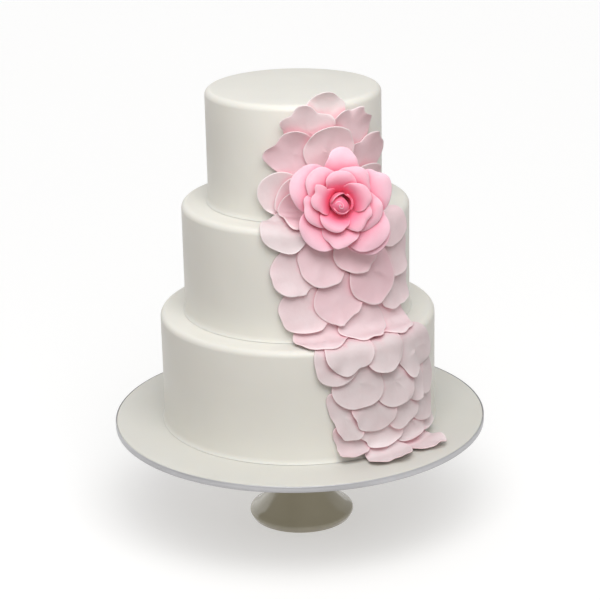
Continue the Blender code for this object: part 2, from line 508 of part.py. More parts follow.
def rose(below, finish):
    """The open rose: its petals, its bud and the pad at its back, all of one piece."""
    frame = rose_frame()
    out = (frame.to_3x3() @ Vector((0.0, 0.0, 1.0))).normalized()

    def place(x, y, height):
        return frame @ Vector((x, y, height)), out

    pieces = []
    grid, triangles = petal_grid(ROSE_SIDES, ROSE_RINGS)
    for petal in ROSE_PETALS:
        draw = random.Random("rose " + petal.name)
        waves = [(count, size, draw.uniform(0, 2 * math.pi)) for count, size in ((2, 0.4), (3, 0.6), (5, 0.4))]
        spots = [tuple(v * MILLIMETRE for v in rose_form(petal, share, turn, waves)) for share, turn in grid]
        heights = settle(place, spots, triangles, below) if petal.rise < 18 else [s[2] for s in spots]
        under = [place(x, y, h)[0] for (x, y, _), h in zip(spots, heights)]
        normals = normals_of(under, triangles)
        facing = 1 if sum((n.dot(out) for n in normals), 0.0) > 0 else -1
        over = [p + n * facing * PETAL_THICKNESS for p, n in zip(under, normals)]
        pieces.append(mesh_object(petal.name, under + over, sheet_faces(triangles, len(grid), ROSE_SIDES), finish))
    grid, triangles = petal_grid(ROSE_SIDES, (0.5, 1.0))
    radius = ROSE_BACK_RADIUS * MILLIMETRE
    spots = [(radius * share * math.cos(turn), radius * share * math.sin(turn), -0.025) for share, turn in grid]
    backs = settle(place, spots, triangles, below)
    under = [place(x, y, h)[0] for (x, y, _), h in zip(spots, backs)]
    tops = [max(h + 0.002, (ROSE_BACK_FRONT * (1 - 0.6 * share**2)) * MILLIMETRE) for (share, _), h in zip(grid, backs)]
    over = [place(x, y, h)[0] for (x, y, _), h in zip(spots, tops)]
    whole = mesh_object("rose", under + over, sheet_faces(triangles, len(grid), ROSE_SIDES), finish)
    bud = turned("bud", [(r * MILLIMETRE, z * MILLIMETRE) for r, z in ROSE_BUD], finish, sides=12)
    bud.data.transform(frame)
    pieces.append(bud)
    joined = bpy.data.collections.new("rose_pieces")
    for piece in pieces:
        joined.objects.link(piece)
    union = whole.modifiers.new("union", "BOOLEAN")
    union.operation, union.solver, union.operand_type, union.collection = "UNION", "EXACT", "COLLECTION", joined
    bpy.context.view_layer.update()
    fused = bpy.data.meshes.new_from_object(whole.evaluated_get(bpy.context.evaluated_depsgraph_get()))
    whole.modifiers.clear()
    whole.data = fused
    for piece in pieces:
        bpy.data.objects.remove(piece)
    bpy.data.collections.remove(joined)
    return whole


def tree_of(objects):
    """One search tree over all the faces of these objects."""
    points, faces = [], []
    for made in objects:
        first = len(points)
        points += [v.co for v in made.data.vertices]
        faces += [[first + i for i in f.vertices] for f in made.data.polygons]
    return BVHTree.FromPolygons(points, faces)


def main():
    for old in list(bpy.data.objects):
        bpy.data.objects.remove(old)
    paste = material("sugar_paste", (0.80, 0.79, 0.74), 0.5)
    glaze = material("stand_glaze", (0.20, 0.19, 0.15), 0.2)
    satin = material("board_ribbon", (0.55, 0.55, 0.57), 0.35, 0.6)
    blush = material("petal_paste", (0.84, 0.70, 0.70), 0.5)
    pink = material("rose_paste", (0.88, 0.42, 0.50), 0.5)
    solids = [
        board(paste),
        tier("tier_bottom", BOTTOM_RADIUS, BOTTOM_BASE, BOTTOM_HEIGHT, paste),
        tier("tier_middle", MIDDLE_RADIUS, MIDDLE_BASE, MIDDLE_HEIGHT, paste),
        tier("tier_top", TOP_RADIUS, TOP_BASE, TOP_HEIGHT, paste),
    ]
    stand(glaze)
    ribbon(satin)
    cover = Cover()
    for petal in PETALS:
        solids.append(laid_petal(cover, petal, tree_of(solids), blush))
    rose(tree_of(solids), pink)


main()
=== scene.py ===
"""Looks of the wedding cake: its sugar paste tiers, sugar petals and sugar rose, and the glazed stand.

Metres, +Z up, with -Y the front of the cake. The named sizes and the tables repeat those of the
part's source.
"""

import math
import random
from collections import namedtuple

import bmesh
import bpy
from mathutils import Matrix, Vector, noise
from mathutils.bvhtree import BVHTree


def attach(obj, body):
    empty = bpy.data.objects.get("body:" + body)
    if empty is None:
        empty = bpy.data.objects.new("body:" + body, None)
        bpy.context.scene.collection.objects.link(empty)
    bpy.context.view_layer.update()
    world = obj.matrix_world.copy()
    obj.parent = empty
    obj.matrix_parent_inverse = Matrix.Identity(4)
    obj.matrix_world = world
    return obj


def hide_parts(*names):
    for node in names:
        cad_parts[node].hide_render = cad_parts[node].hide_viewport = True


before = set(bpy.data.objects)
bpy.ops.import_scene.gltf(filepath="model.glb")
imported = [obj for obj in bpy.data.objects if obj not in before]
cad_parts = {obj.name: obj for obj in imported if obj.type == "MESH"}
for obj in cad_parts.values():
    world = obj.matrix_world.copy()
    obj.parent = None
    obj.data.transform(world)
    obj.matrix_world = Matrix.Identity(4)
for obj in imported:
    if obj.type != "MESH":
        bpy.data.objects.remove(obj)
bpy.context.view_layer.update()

# Stand, board and tiers
REST_GAP = 0.0003
STAND_HEIGHT = 0.100
PLATE_RADIUS = 0.125
PLATE_THICKNESS = 0.008
FOOT_RADIUS = 0.050
FOOT_RING = 0.006
FOOT_RECESS = 0.0025
STEM_RADIUS = 0.017
FLARE_HEIGHT = 0.052
FLARE_CURVE = 1.9
FLARE_STEPS = 24
BOARD_RADIUS = 0.1745
BOARD_THICKNESS = 0.0062
BOARD_EDGE = 0.0012
RIBBON_THICKNESS = 0.0008
TOP_RADIUS, MIDDLE_RADIUS, BOTTOM_RADIUS = 0.080, 0.105, 0.1285
TOP_HEIGHT, MIDDLE_HEIGHT, BOTTOM_HEIGHT = 0.105, 0.104, 0.107
TIER_EDGE = 0.006
TIER_SKIRT = 0.003
SKIRT_OUT, SKIRT_UP, SKIRT_CURVE = 0.6, 1.6, 1.5
ROUND_SIDES = 224
STAND_SIDES = 144

BOARD_BASE = STAND_HEIGHT + REST_GAP
BOTTOM_BASE = BOARD_BASE + BOARD_THICKNESS + REST_GAP
MIDDLE_BASE = BOTTOM_BASE + BOTTOM_HEIGHT
TOP_BASE = MIDDLE_BASE + MIDDLE_HEIGHT
CAKE_TOP = TOP_BASE + TOP_HEIGHT
TIERS = (
    ("bottom", BOTTOM_RADIUS, BOTTOM_BASE, BOTTOM_HEIGHT),
    ("middle", MIDDLE_RADIUS, MIDDLE_BASE, MIDDLE_HEIGHT),
    ("top", TOP_RADIUS, TOP_BASE, TOP_HEIGHT),
)

# Petals
PETAL_THICKNESS = 0.0010
PETAL_RIM = 0.0008
PETAL_GAP = 0.00035
PETAL_SIDES = 48
PETAL_RINGS = (0.15, 0.3, 0.45, 0.6, 0.72, 0.82, 0.9, 0.95, 0.985)
ROOT_NARROWING = 0.34
FULL_WIDTH = 0.93
ROSE_NARROWING = 0.55
ROOT_LIFT = 0.0006
COVER_HOLLOW = 0.014
COVER_EDGE = 0.008
RAY_REACH = 0.030
SPREAD_PASSES = 60
DISHED = {"t": 2.2, "m": 1.2, "r": 1.0, "b": 1.0}
# How much a wave moves the rim out, how calm the root end is, and how late a flare and a dish rise
RIM_WAVE, ROSE_RIM_WAVE = 0.02, 0.04
ROOT_CALM, ROOT_STILL = 0.7, 0.8
FLARE_RISE, DISH_RISE = 2.3, 2.5
# Low bumps of the paste. A petal whose flare is this many mm or more has all of them.
LOOSE_FLARE = 4.5
BUMPS_TO_A_METRE = 80
FINE_BUMP, BROAD_BUMP, BUMP_LIFT = 0.0009, 0.0013, 0.7

# One line for each petal, in the order they are laid. Angle is in degrees round the cake from its
# front, drop is from the tier's top edge down the cover to the petal's middle, and turn is where
# its free edge points: 0 is down, 90 is to the right and 180 is up. Flare lifts the free edge, and
# ruffle is the height of its waves. All in mm. The letter that a name starts with gives the tier.
Petal = namedtuple("Petal", "name tier angle drop width length turn flare ruffle")
TIER_OF = {"t": "top", "m": "middle", "r": "middle", "b": "bottom"}
PETALS = [Petal(row[0], TIER_OF[row[0][0]], *row[1:]) for row in (
    ("b17", 51.5, 113.5, 42, 46, 24, 3, 2.6),
    ("b16", 33.5, 112, 48, 44, 0, 3, 2.4),
    ("b15", 20, 88, 37, 44, 4, 4.5, 1.8),
    ("b14", 59.5, 82, 38, 46, 0, 4, 1.4),
    ("b13", 49, 84, 42, 50, 0, 4, 1.2),
    ("b12", 34, 80, 46, 48, -4, 4, 1.6),
    ("b11", 57, 65, 42, 48, 4, 4, 1.4),
    ("b8", 17, 64, 30, 52, 26, 4.5, 1.4),
    ("b10", 44, 63, 41, 48, 0, 4.5, 1.4),
    ("b9", 30, 59, 46, 48, -6, 4.5, 1.6),
    ("b7_right", 58.5, 40, 40, 48, 4, 4, 1.4),
    ("b7", 49.5, 43, 31, 47, 2, 4.5, 2.4),
    ("b6", 40, 39, 43, 48, 4, 4.5, 0.8),
    ("b5", 23.5, 34, 49, 48, -3, 4.5, 0.6),
    ("b1", 14.3, 10, 42, 46, 0, 3.5, 0.8),
    ("b4", 53, 17, 52, 52, -2, 5, 2.2),
    ("b3", 35, 2.5, 41, 52, 2, 6, 2),
    ("b2", 20, 3.5, 46, 44, 4, 6.5, 2.2),
    ("m11", 50, 96, 46, 52, 6, 1.6, 0.8),
    ("m12", 10.5, 99, 50, 46, 0, 1.4, 0.5),
    ("m10", 32, 93, 50, 52, 0, 1.8, 0.7),
    ("m9", 3, 72, 46, 48, -4, 4.5, 0.8),
    ("m7", 57, 66, 48, 46, 0, 3.5, 1.6),
    ("m8", 20, 63, 46, 50, 4, 4.5, 1.2),
    ("m6", 54, 32, 50, 48, 4, 3.5, 1.4),
    ("m5", 38, 45.5, 48, 60, 4, 4.5, 0.9),
    ("m2", -1, 36, 43, 46, -6, 4.5, 1.4),
    ("m3", 12, 26.5, 47, 50, -2, 4.5, 0.9),
    ("m4", 29, 20, 45, 46, 4, 4.5, 0.6),
    ("r1", 53, 5, 48, 44, 14, 3.5, 1.2),
    ("t1", 20.5, 11, 42, 47, 184, 8.5, 1.8),
    ("t3", 36.5, 26.5, 43, 47, 168, 8.5, 2.4),
    ("t2", 8, 22, 46, 50, 190, 9, 2.2),
    ("t6", 49, 54, 47, 49, 165, 6, 2),
    ("t4", -1.5, 43, 43, 45, 205, 9, 1.8),
    ("t5", 21, 43, 45, 50, 182, 9, 2),
    ("t7", 48.5, 82, 46, 46, 171, 3.5, 1.4),
    ("t8", -6, 80, 44, 44, 262, 5, 1.4),
    ("t9", 3.5, 85, 46, 42, 262, 5.5, 1.4),
    ("m1", -4.5, -3, 44, 46, -16, 4, 1.6),
    ("t10", 4, 98, 46, 42, 270, 5, 1.2),
)]

# Where a petal's rim bulges or draws in, as the maker's fingers left it: (turn, out, lift, spread).
# Turn goes round the petal from the middle of its free edge, seen with that edge down: 90 is its
# left side. Turns and spreads are in degrees, and out and lift in mm.
FOLDS = {
    "t1": ((-15, 2, 1.5, 20), (30, -3.5, -1, 22), (75, -4, 0, 28)),
    "t2": ((-55, 0.5, 2.5, 12), (-32, -4.5, 0, 16), (-78, -4, 0, 22), (2, 1.5, 2.5, 16),
           (38, -6.5, -1, 22)),
    "t3": ((-14, -3.8, -1.5, 15), (4, 2.6, 4.5, 9), (27, -5, 0, 18), (65, -1.5, 0, 20)),
    "t4": ((-25, -6, 1, 26), (-70, 1, 3, 14), (35, 1, 1.5, 20)),
    "t5": ((-55, -1.2, 0, 16), (10, 0.8, 2, 20), (60, -2, 0, 14)),
    "t6": ((-37, -7, -1, 22), (2, 0.5, 2, 10), (30, -3, 0, 16)),
    "t8": ((25, 1.5, 1, 20), (-35, -2, 0, 25)),
    "t10": ((-60, 3, 1, 30), (0, -1, 0, 15)),
    "m1": ((5, -2, 1, 22), (-30, 0, 2, 15), (-60, -2.5, 0, 20)),
    "m2": ((62, -2.2, 0, 16), (-28, 1.2, 2.5, 10), (-42, -1.5, 0, 8)),
    "m3": ((70, -3.2, 0, 25), (30, -2, 0, 18), (-35, 0.8, 2, 10)),
    "m4": ((30, -1.5, 0, 20), (-15, 0.5, 2, 12), (-32, -2.5, 0, 14)),
    "m5": ((30, -1.2, 0, 15), (-8, 0.5, 1.5, 12)),
    "m6": ((-30, 1.2, 1, 20),),
    "m7": ((55, 2, 0, 15), (0, -3.5, 0, 15), (-28, -4, 1, 16)),
    "m8": ((3, 1.2, 3, 7), (-30, -3.6, 0, 18), (-60, -1.8, 0, 14)),
    "m9": ((62, -3.2, 0, 20), (-35, 0.3, 1.5, 14)),
    "m10": ((30, 1.5, 0, 18), (0, -2.5, 1, 16)),
    "m11": ((58, 4, 0, 20), (0, -4, 0, 22)),
    "m12": ((0, -2.5, 0, 24),),
    "b1": ((70, -3, 0, 25),),
    "b2": ((60, -3.2, 0, 26), (15, 0, 3, 12), (-20, -6, -1, 22), (-60, -3, 0, 16)),
    "b3": ((15, -2, 1, 22), (-62, 2.3, 0, 20), (-30, -1.5, 0, 14)),
    "b4": ((50, -3.6, 1, 22), (22, 1, 2.5, 12), (-8, -8.5, 0, 20), (-42, -4.5, 0, 22)),
    "b5": ((-5, -1.5, 0, 20),),
    "b7": ((20, -3, 0, 25), (60, -4, 1, 18)),
    "b8": ((120, -2.5, 0, 20), (85, -5.5, 0, 22), (55, -3, 2, 14), (10, -2, 1, 25)),
    "b9": ((62, -4, 1, 18), (10, -1.8, 0, 25)),
    "b10": ((-25, -3, 0, 30),),
    "b12": ((78, 1, 2.5, 8), (55, -4, 0, 14), (15, 0, 2, 14), (-40, -1, 0, 20)),
    "b15": ((125, 2.5, 1, 14), (80, -5.5, 0, 22), (55, -3, 0, 12), (20, 0, 2, 16)),
    "b16": ((-100, 4, 0.5, 28), (90, -3.5, 0, 20), (28, -3.5, 0, 16), (8, -3.5, 3, 14),
            (-15, 0.5, 3, 12)),
    "b17": ((54, -4.5, 0, 18), (25, -1, 3, 12), (0, 1, 0, 12)),
    "rose_lower_right": ((60, -3, 0, 20), (-45, 1, 1.5, 14)),
    "rose_lower_right_back": ((-20, 1, 1, 14),),
    "rose_lower_left": ((-20, -1.5, 0, 25), (35, 0.5, 1.5, 14)),
    "rose_top": ((-32, -2.5, 0, 18), (55, -2, 2, 16), (-60, -2.5, 0, 20), (8, 0.5, 2, 14)),
    "rose_right": ((38, -5.5, -1, 22), (75, -3, 0, 20), (-30, -2.5, 0, 25), (12, 1, 2, 12)),
    "rose_upper_left": ((45, -3.5, 0, 30), (-50, 0.5, 2, 14), (-20, -1, 0, 12)),
    "rose_bottom": ((-12, 2, 1, 12), (30, -2.5, 0, 20), (-35, -2, 0, 16)),
    "rose_inner_right": ((60, -3, 0, 25), (28, 0.5, 1.5, 12), (-30, -1.5, 0, 20)),
    "rose_inner_upper_right": ((35, -3, 0, 25), (-5, 1, 1.5, 12), (-45, -4, 0, 25)),
    "rose_inner_upper_left": ((50, -3, 0, 25), (-60, -2, 0, 20), (-20, 0.5, 1.5, 12)),
    "rose_inner_left": ((-38, 2.5, 2, 12), (-15, -1.5, 0, 10), (42, -1.5, 0, 20)),
    "rose_inner_lower_right": ((5, -3, 0, 13), (-26, 1.5, 1, 9), (32, 0.5, 1, 12),
                               (-60, -2, 0, 20)),
    "rose_inner_top": ((75, -2.5, 0, 25), (-30, 0.5, 1, 14)),
    "rose_inner_bottom": ((55, -3, 0, 25),),
    "rose_bud_upper_left": ((5, 0.5, 1.5, 40), (65, -1.5, -1, 25)),
    "rose_bud_right": ((0, -1, -4, 60),),
    "rose_bud_bottom": ((25, 0, -1.5, 40), (-30, 0.5, 1, 20)),
    "rose_heart_right": ((45, -2, 0, 25), (-25, 1.3, 1, 15)),
    "rose_heart_left": ((-30, 5, 3.5, 11), (-12, -2.5, 0, 9), (-72, -6, 0, 24),
                        (62, -3.5, 0, 22)),
}

# The rose faces the front of the cake. Around is where a petal points, seen from the front of the
# flower: 0 is right and 90 is up. Reach is from the flower's axis to the tip, rise is the tip's
# height over the flower's back, belly is the (reach, rise) that the petal curves toward, cup is its
# sideways bend, curl rolls its rim back, droop lets its two sides fall, and lean lifts one side over
# the next petal. All in mm and degrees.
ROSE_ANGLE, ROSE_OUT, ROSE_UP = 22.3, 0.098, 0.339
ROSE_FACING, ROSE_TILT = 6.0, 11.0
ROSE_ROOT = (6.0, 0.4)
ROSE_ROOT_TOP = 8.0
ROSE_ROUNDNESS = 0.85
RosePetal = namedtuple("RosePetal", "name around reach width rise belly cup curl droop lean")
ROSE_PETALS = [RosePetal(*row) for row in (
    ("lower_right_back", -49, 55, 46, 16, (30, 13), 45, 2, 1, 0.5),
    ("lower_right", -45, 51, 48, 21, (30, 18), 45, 2.5, 2, 1.5),
    ("lower_left", 231, 46, 44, 21, (28, 18), 45, 2.5, 2, -1.5),
    ("top", 84, 48, 34, 15, (28, 21), 45, 2.5, 2, 1.5),
    ("right", 20, 48, 46, 17, (28, 23), 45, 2.5, 2.5, 1.5),
    ("upper_left", 152, 47.5, 47, 17, (28, 23), 45, 3, 2.5, 1.5),
    ("bottom", 268, 38.5, 35, 24.5, (24, 21), 40, 2, 2, 1),
    ("inner_right", -20, 37, 40, 22, (22, 25), 36, 2, 2, 1.5),
    ("inner_upper_right", 56, 35.5, 37, 22, (22, 27), 36, 2, 2, 1.5),
    ("inner_upper_left", 133, 37.5, 36, 22, (22, 27), 34, 2, 2, 1.5),
    ("inner_left", 193, 33, 35, 24, (20, 26), 32, 2, 2, 1.5),
    ("inner_lower_right", -40, 28.5, 33, 26, (18, 27), 28, 2, 1.5, 1.2),
    ("inner_top", 91, 28.5, 32, 26, (18, 29), 24, 1.5, 1, 1),
    ("inner_bottom", 247, 25, 30, 28, (16, 28), 26, 1.5, 1.5, 1),
    ("heart_right", 25, 26, 31, 28.5, (14, 31), 20, 1.5, 1, 1),
    ("heart_left", 163, 27, 31, 28.5, (14, 31), 20, 1.5, 1, 1),
    ("bud_upper_left", 130, 9.6, 22, 31.5, (12, 20), 9, 0.5, 0, 0.5),
    ("bud_right", 10, 8.8, 21, 31.5, (11.5, 20), 8.5, 0.5, 0, 0.5),
    ("bud_bottom", 255, 8.2, 21, 32, (11, 20), 8, 0.5, 0, 0.5),
)]
# Only the outer petals, whose tips rise less than this, can touch what is behind the rose. The
# bud's petals reach less far than this.
ROSE_OUTER_RISE = 18
ROSE_BUD_REACH = 20

# The rolled bud, the paste that it is rolled on and the pad at the flower's back, in mm
ROSE_BUD_MIDDLE = (-1.9, -1.0)
BUD_STEPS, BUD_LEVELS, BUD_TURNS = 90, 12, 1.35
BUD_FOOT, BUD_TIP, BUD_DROP = 6.0, 36.4, 3.6
BUD_INNER, BUD_WIDENING, BUD_SHEET = 1.1, 5.0, 0.6
CORE_SIDES = 40
CORE_PROFILE = ((0.0, 35.2), (1.2, 34.6), (2.6, 33.3), (4.2, 32.0), (5.6, 30.6), (7.0, 28.0),
                (8.2, 26.0), (7.0, 12.0), (0.0, 8.0))
ROSE_BACK_RADIUS, ROSE_BACK_FRONT = 11.0, 12.0
PAD_SIDES, PAD_RINGS = 24, (0.5, 0.8, 1.0)
MILLIMETRE = 0.001
PAD_BACK, PAD_LEAST = -25 * MILLIMETRE, 2 * MILLIMETRE

# Colours, linear. A petal's blush says how far it goes from the pale colour to the pink one. The
# keys are a group's letter or a petal's name.
PASTE = (0.76, 0.745, 0.685)
# Painted shade: the board wears the same paste as the tiers, painted darker
BOARD_PASTE_WITH_PAINTED_SHADE = (0.65, 0.64, 0.59)
PALE_PETAL = (0.885, 0.815, 0.81)
PINK_PETAL = (0.90, 0.56, 0.63)
# Painted shade: the pink of the shade between and under petals
PAINTED_SHADE_PINK = (0.93, 0.42, 0.50)
PETAL_RIM_HIGHLIGHT = (0.90, 0.86, 0.85)
ROSE_LIGHT = (0.91, 0.57, 0.66)
ROSE_DEEP = (0.92, 0.235, 0.36)
ROSE_HEART = (0.93, 0.16, 0.28)
ROSE_RIM_HIGHLIGHT = (0.97, 0.68, 0.76)
BLUSH = {"t": 0.4, "m": 0.6, "r": 0.4, "b": 0.15}
BLUSH_OF = {"t1": 0.0, "t2": 0.3, "t3": 0.5, "t4": 0.6, "t5": 0.38, "t6": 0.55, "t8": 0.2, "t9": 0.55}
BLUSH_OF |= {"t10": 0.75, "m1": 0.15, "m2": 0.35, "m4": 0.65, "m5": 0.7, "m6": 0.35, "m7": 0.3}
BLUSH_OF |= {"m9": 0.35, "m10": 0.4, "m11": 0.4, "m12": 0.45, "b15": 0.3, "b16": 0.14, "b17": 0.25}
# How much darker or lighter a group's or a petal's colour is made, as a share of those colours. This is
# mostly painted light and shade, for how much light each petal gets, and partly the paste's own tone
PAINTED_LIGHT_AND_SHADE = {"t": 0.96, "m": 0.94, "r": 0.95, "b": 0.82}
PAINTED_LIGHT_AND_SHADE_OF = {"t1": 1.26, "t5": 1.02, "m1": 0.80, "m3": 0.96, "m4": 1.05, "m10": 0.91, "m12": 0.9}
PAINTED_LIGHT_AND_SHADE_OF |= {"b9": 0.79, "b12": 0.94, "b16": 0.88, "b17": 0.92}
# Painted shade: how much darker the free ends of the top tier's petals are, as they lean out and face
# down, and how much lighter their roots
TOP_TIP_PAINTED_SHADE = 0.07
# Painted shade: a petal is painted pinker this near under another one, for the pink shade between them.
# The tint spreads between points whose normals are nearly alike.
CREVICE_REACH = 0.010
CREVICE_PASSES = 3
CREVICE_ALIKE = 0.85
CREVICE_SHADE_STRENGTH, ROSE_CREVICE_SHADE_STRENGTH = 0.6, 0.7

# The photograph's camera, fitted to it, in metres and degrees
CAMERA_PLACE = (0, -1.67117, 0.79345)
CAMERA_PITCH, CAMERA_YAW, CAMERA_ROLL = -19.01, 0.087, -1.2095
CAMERA_LENS, CAMERA_SENSOR = 113.05, 36.0

# The studio's floor, wall and sky, in metres, and the sky's colours from below, level and above
FLOOR_HALF = 24.0
FLOOR_HEIGHT = -0.0002
WALL_RADIUS = 20.0
WALL_HEIGHT = 14.0
WALL_SIDES = 64
SKY_BELOW, SKY_LEVEL, SKY_ABOVE = (0.17, 0.11, 0.10), (0.47, 0.455, 0.435), (0.50, 0.50, 0.505)


def mixed(a, b, share):
    return tuple(x + (y - x) * share for x, y in zip(a, b))


def smooth_step(low, high, value):
    share = min(max((value - low) / (high - low), 0.0), 1.0)
    return share * share * (3 - 2 * share)


# Materials


class Nodes:
    """A material's node tree, with a Principled BSDF whose plain values are set on its own sockets."""

    def __init__(self, name, **values):
        self.material = bpy.data.materials.new(name)
        self.material.use_nodes = True
        self.tree = self.material.node_tree
        self.shader = self.tree.nodes["Principled BSDF"]
        for key, value in values.items():
            self.shader.inputs[key.replace("_", " ")].default_value = value
        self.coordinates = self.tree.nodes.new("ShaderNodeTexCoord").outputs["Object"]

    def node(self, kind, **settings):
        made = self.tree.nodes.new("ShaderNode" + kind)
        for key, value in settings.items():
            setattr(made, key, value)
        return made

    def link(self, out, into):
        self.tree.links.new(out, into)

    def feed(self, name, out):
        """Drives one of the shader's own values."""
        self.link(out, self.shader.inputs[name])

    def noise(self, scale, detail, stretch=(1, 1, 1)):
        mapping = self.node("Mapping")
        mapping.inputs["Scale"].default_value = stretch
        self.link(self.coordinates, mapping.inputs["Vector"])
        made = self.node("TexNoise")
        made.inputs["Scale"].default_value = scale
        made.inputs["Detail"].default_value = detail
        self.link(mapping.outputs["Vector"], made.inputs["Vector"])
        return made.outputs["Fac"]

    def spread(self, value, low, high):
        """The noise's middle range, mapped to low and high."""
        made = self.node("MapRange")
        made.inputs["From Min"].default_value = 0.3
        made.inputs["From Max"].default_value = 0.7
        made.inputs["To Min"].default_value = low
        made.inputs["To Max"].default_value = high
        self.link(value, made.inputs["Value"])
        return made.outputs["Result"]

    def mix(self, factor, first, second, blend="MIX"):
        made = self.node("Mix", data_type="RGBA", blend_type=blend)
        self.link(factor, made.inputs[0])
        for socket, value in ((made.inputs[6], first), (made.inputs[7], second)):
            if isinstance(value, tuple):
                socket.default_value = (*value, 1.0)
            else:
                self.link(value, socket)
        return made.outputs[2]

    def bump(self, *heights):
        """Each height is a noise and its depth in metres, from broad to fine."""
        before = None
        for height, depth in heights:
            made = self.node("Bump")
            made.inputs["Strength"].default_value = 1.0
            made.inputs["Distance"].default_value = depth
            self.link(height, made.inputs["Height"])
            if before is not None:
                self.link(before, made.inputs["Normal"])
            before = made.outputs["Normal"]
        self.feed("Normal", before)


def paste_material(name, colour):
    """Rolled sugar paste: satin, faintly uneven, a little see-into."""
    made = Nodes(name, Subsurface_Weight=0.12, Subsurface_Scale=0.004, Specular_IOR_Level=0.35)
    made.shader.inputs["Subsurface Radius"].default_value = (1.0, 0.7, 0.45)
    clouds = made.spread(made.noise(14.0, 3.0), 0.0, 1.0)
    dark, light = mixed(colour, (0, 0, 0), 0.02), mixed(colour, (1, 1, 1), 0.02)
    made.feed("Base Color", made.mix(clouds, dark, light))
    made.feed("Roughness", made.spread(made.noise(30.0, 3.0), 0.38, 0.48))
    made.bump((made.noise(22.0, 2.0), 0.0009), (made.noise(420.0, 3.0), 0.00002))
    return made.material


def petal_material(name, subsurface, radius):
    """Sugar petals: their tint, which holds painted light and shade with their colour, dusted unevenly
    with petal powder.
    """
    made = Nodes(name, Roughness=0.5, Subsurface_Weight=subsurface, Specular_IOR_Level=0.25)
    made.shader.inputs["Subsurface Scale"].default_value = 0.005
    made.shader.inputs["Subsurface Radius"].default_value = radius
    tint = made.node("Attribute", attribute_name="tint").outputs["Color"]
    dusting = made.spread(made.noise(55.0, 4.0), 0.0, 0.16)
    made.feed("Base Color", made.mix(dusting, tint, (0.80, 0.52, 0.54), "MULTIPLY"))
    made.bump((made.noise(90.0, 2.0), 0.0004), (made.noise(700.0, 2.0), 0.00002))
    return made.material


def ribbon_material():
    """Silver satin ribbon: a fine cross rib, and soft streaks of painted highlight in its colour."""
    made = Nodes("silver_satin", Metallic=0.55, Anisotropic=0.4)
    painted_highlight_streaks = made.spread(made.noise(9.0, 3.0, (1, 1, 6)), 0.0, 1.0)
    made.feed("Base Color", made.mix(painted_highlight_streaks, (0.42, 0.42, 0.43), (0.58, 0.58, 0.60)))
    made.feed("Roughness", made.spread(made.noise(40.0, 2.0), 0.3, 0.46))
    made.bump((made.noise(1600.0, 1.0, (1, 1, 0.08)), 0.00006))
    return made.material


def glaze_material():
    """Glazed ceramic, darker where the glaze pools. Its dark warm grey is partly the glaze's colour and
    partly painted shade, for the board's shadow over the stand.
    """
    made = Nodes("stand_glaze", Coat_Weight=0.6, Coat_Roughness=0.08, Specular_IOR_Level=0.5)
    pools = made.spread(made.noise(18.0, 3.0, (1, 1, 0.3)), 0.0, 1.0)
    made.feed("Base Color", made.mix(pools, (0.49, 0.465, 0.35), (0.59, 0.565, 0.44)))
    made.feed("Roughness", made.spread(made.noise(60.0, 2.0), 0.12, 0.22))
    made.bump((made.noise(35.0, 2.0), 0.0003))
    return made.material


# Turned shapes


def new_object(name, data):
    made = bpy.data.objects.new(name, data)
    bpy.context.scene.collection.objects.link(made)
    return made


def mesh_object(name, points, faces, finish, sharp_degrees=60, tints=None):
    """A named object of these points and faces, its normals outward and its rounds shaded smooth."""
    mesh = bpy.data.meshes.new(name)
    mesh.from_pydata(points, [], faces)
    shape = bmesh.new()
    shape.from_mesh(mesh)
    bmesh.ops.recalc_face_normals(shape, faces=shape.faces)
    shape.to_mesh(mesh)
    shape.free()
    if tints is not None:
        layer = mesh.color_attributes.new("tint", "FLOAT_COLOR", "POINT")
        layer.data.foreach_set("color", [c for tint in tints for c in (*tint, 1.0)])
    mesh.materials.append(finish)
    mesh.shade_smooth()
    mesh.set_sharp_from_angle(angle=math.radians(sharp_degrees))
    return new_object(name, mesh)


def arc(centre_r, centre_z, radius, start, end, steps):
    """Points (r, z) along an arc from start to end degrees, both ends included."""
    turns = (math.radians(start + (end - start) * i / steps) for i in range(steps + 1))
    return [(centre_r + radius * math.cos(t), centre_z + radius * math.sin(t)) for t in turns]


def turned(name, profile, finish, sides=ROUND_SIDES, closed=False):
    """A solid turned round Z. The profile is (r, z) points, and a closed one is the section of a ring."""
    points, faces, rings = [], [], []
    for r, z in profile:
        if r < 1e-6:
            rings.append([len(points)])
            points.append((0.0, 0.0, z))
            continue
        rings.append([len(points) + i for i in range(sides)])
        turns = (2 * math.pi * i / sides for i in range(sides))
        points += [(r * math.cos(t), r * math.sin(t), z) for t in turns]
    pairs = list(zip(rings, rings[1:]))
    if closed:
        pairs.append((rings[-1], rings[0]))
    for low, high in pairs:
        for i in range(sides):
            j = (i + 1) % sides
            corners = [low[i % len(low)], low[j % len(low)], high[j % len(high)], high[i % len(high)]]
            faces.append(list(dict.fromkeys(corners)))
    return mesh_object(name, points, faces, finish)


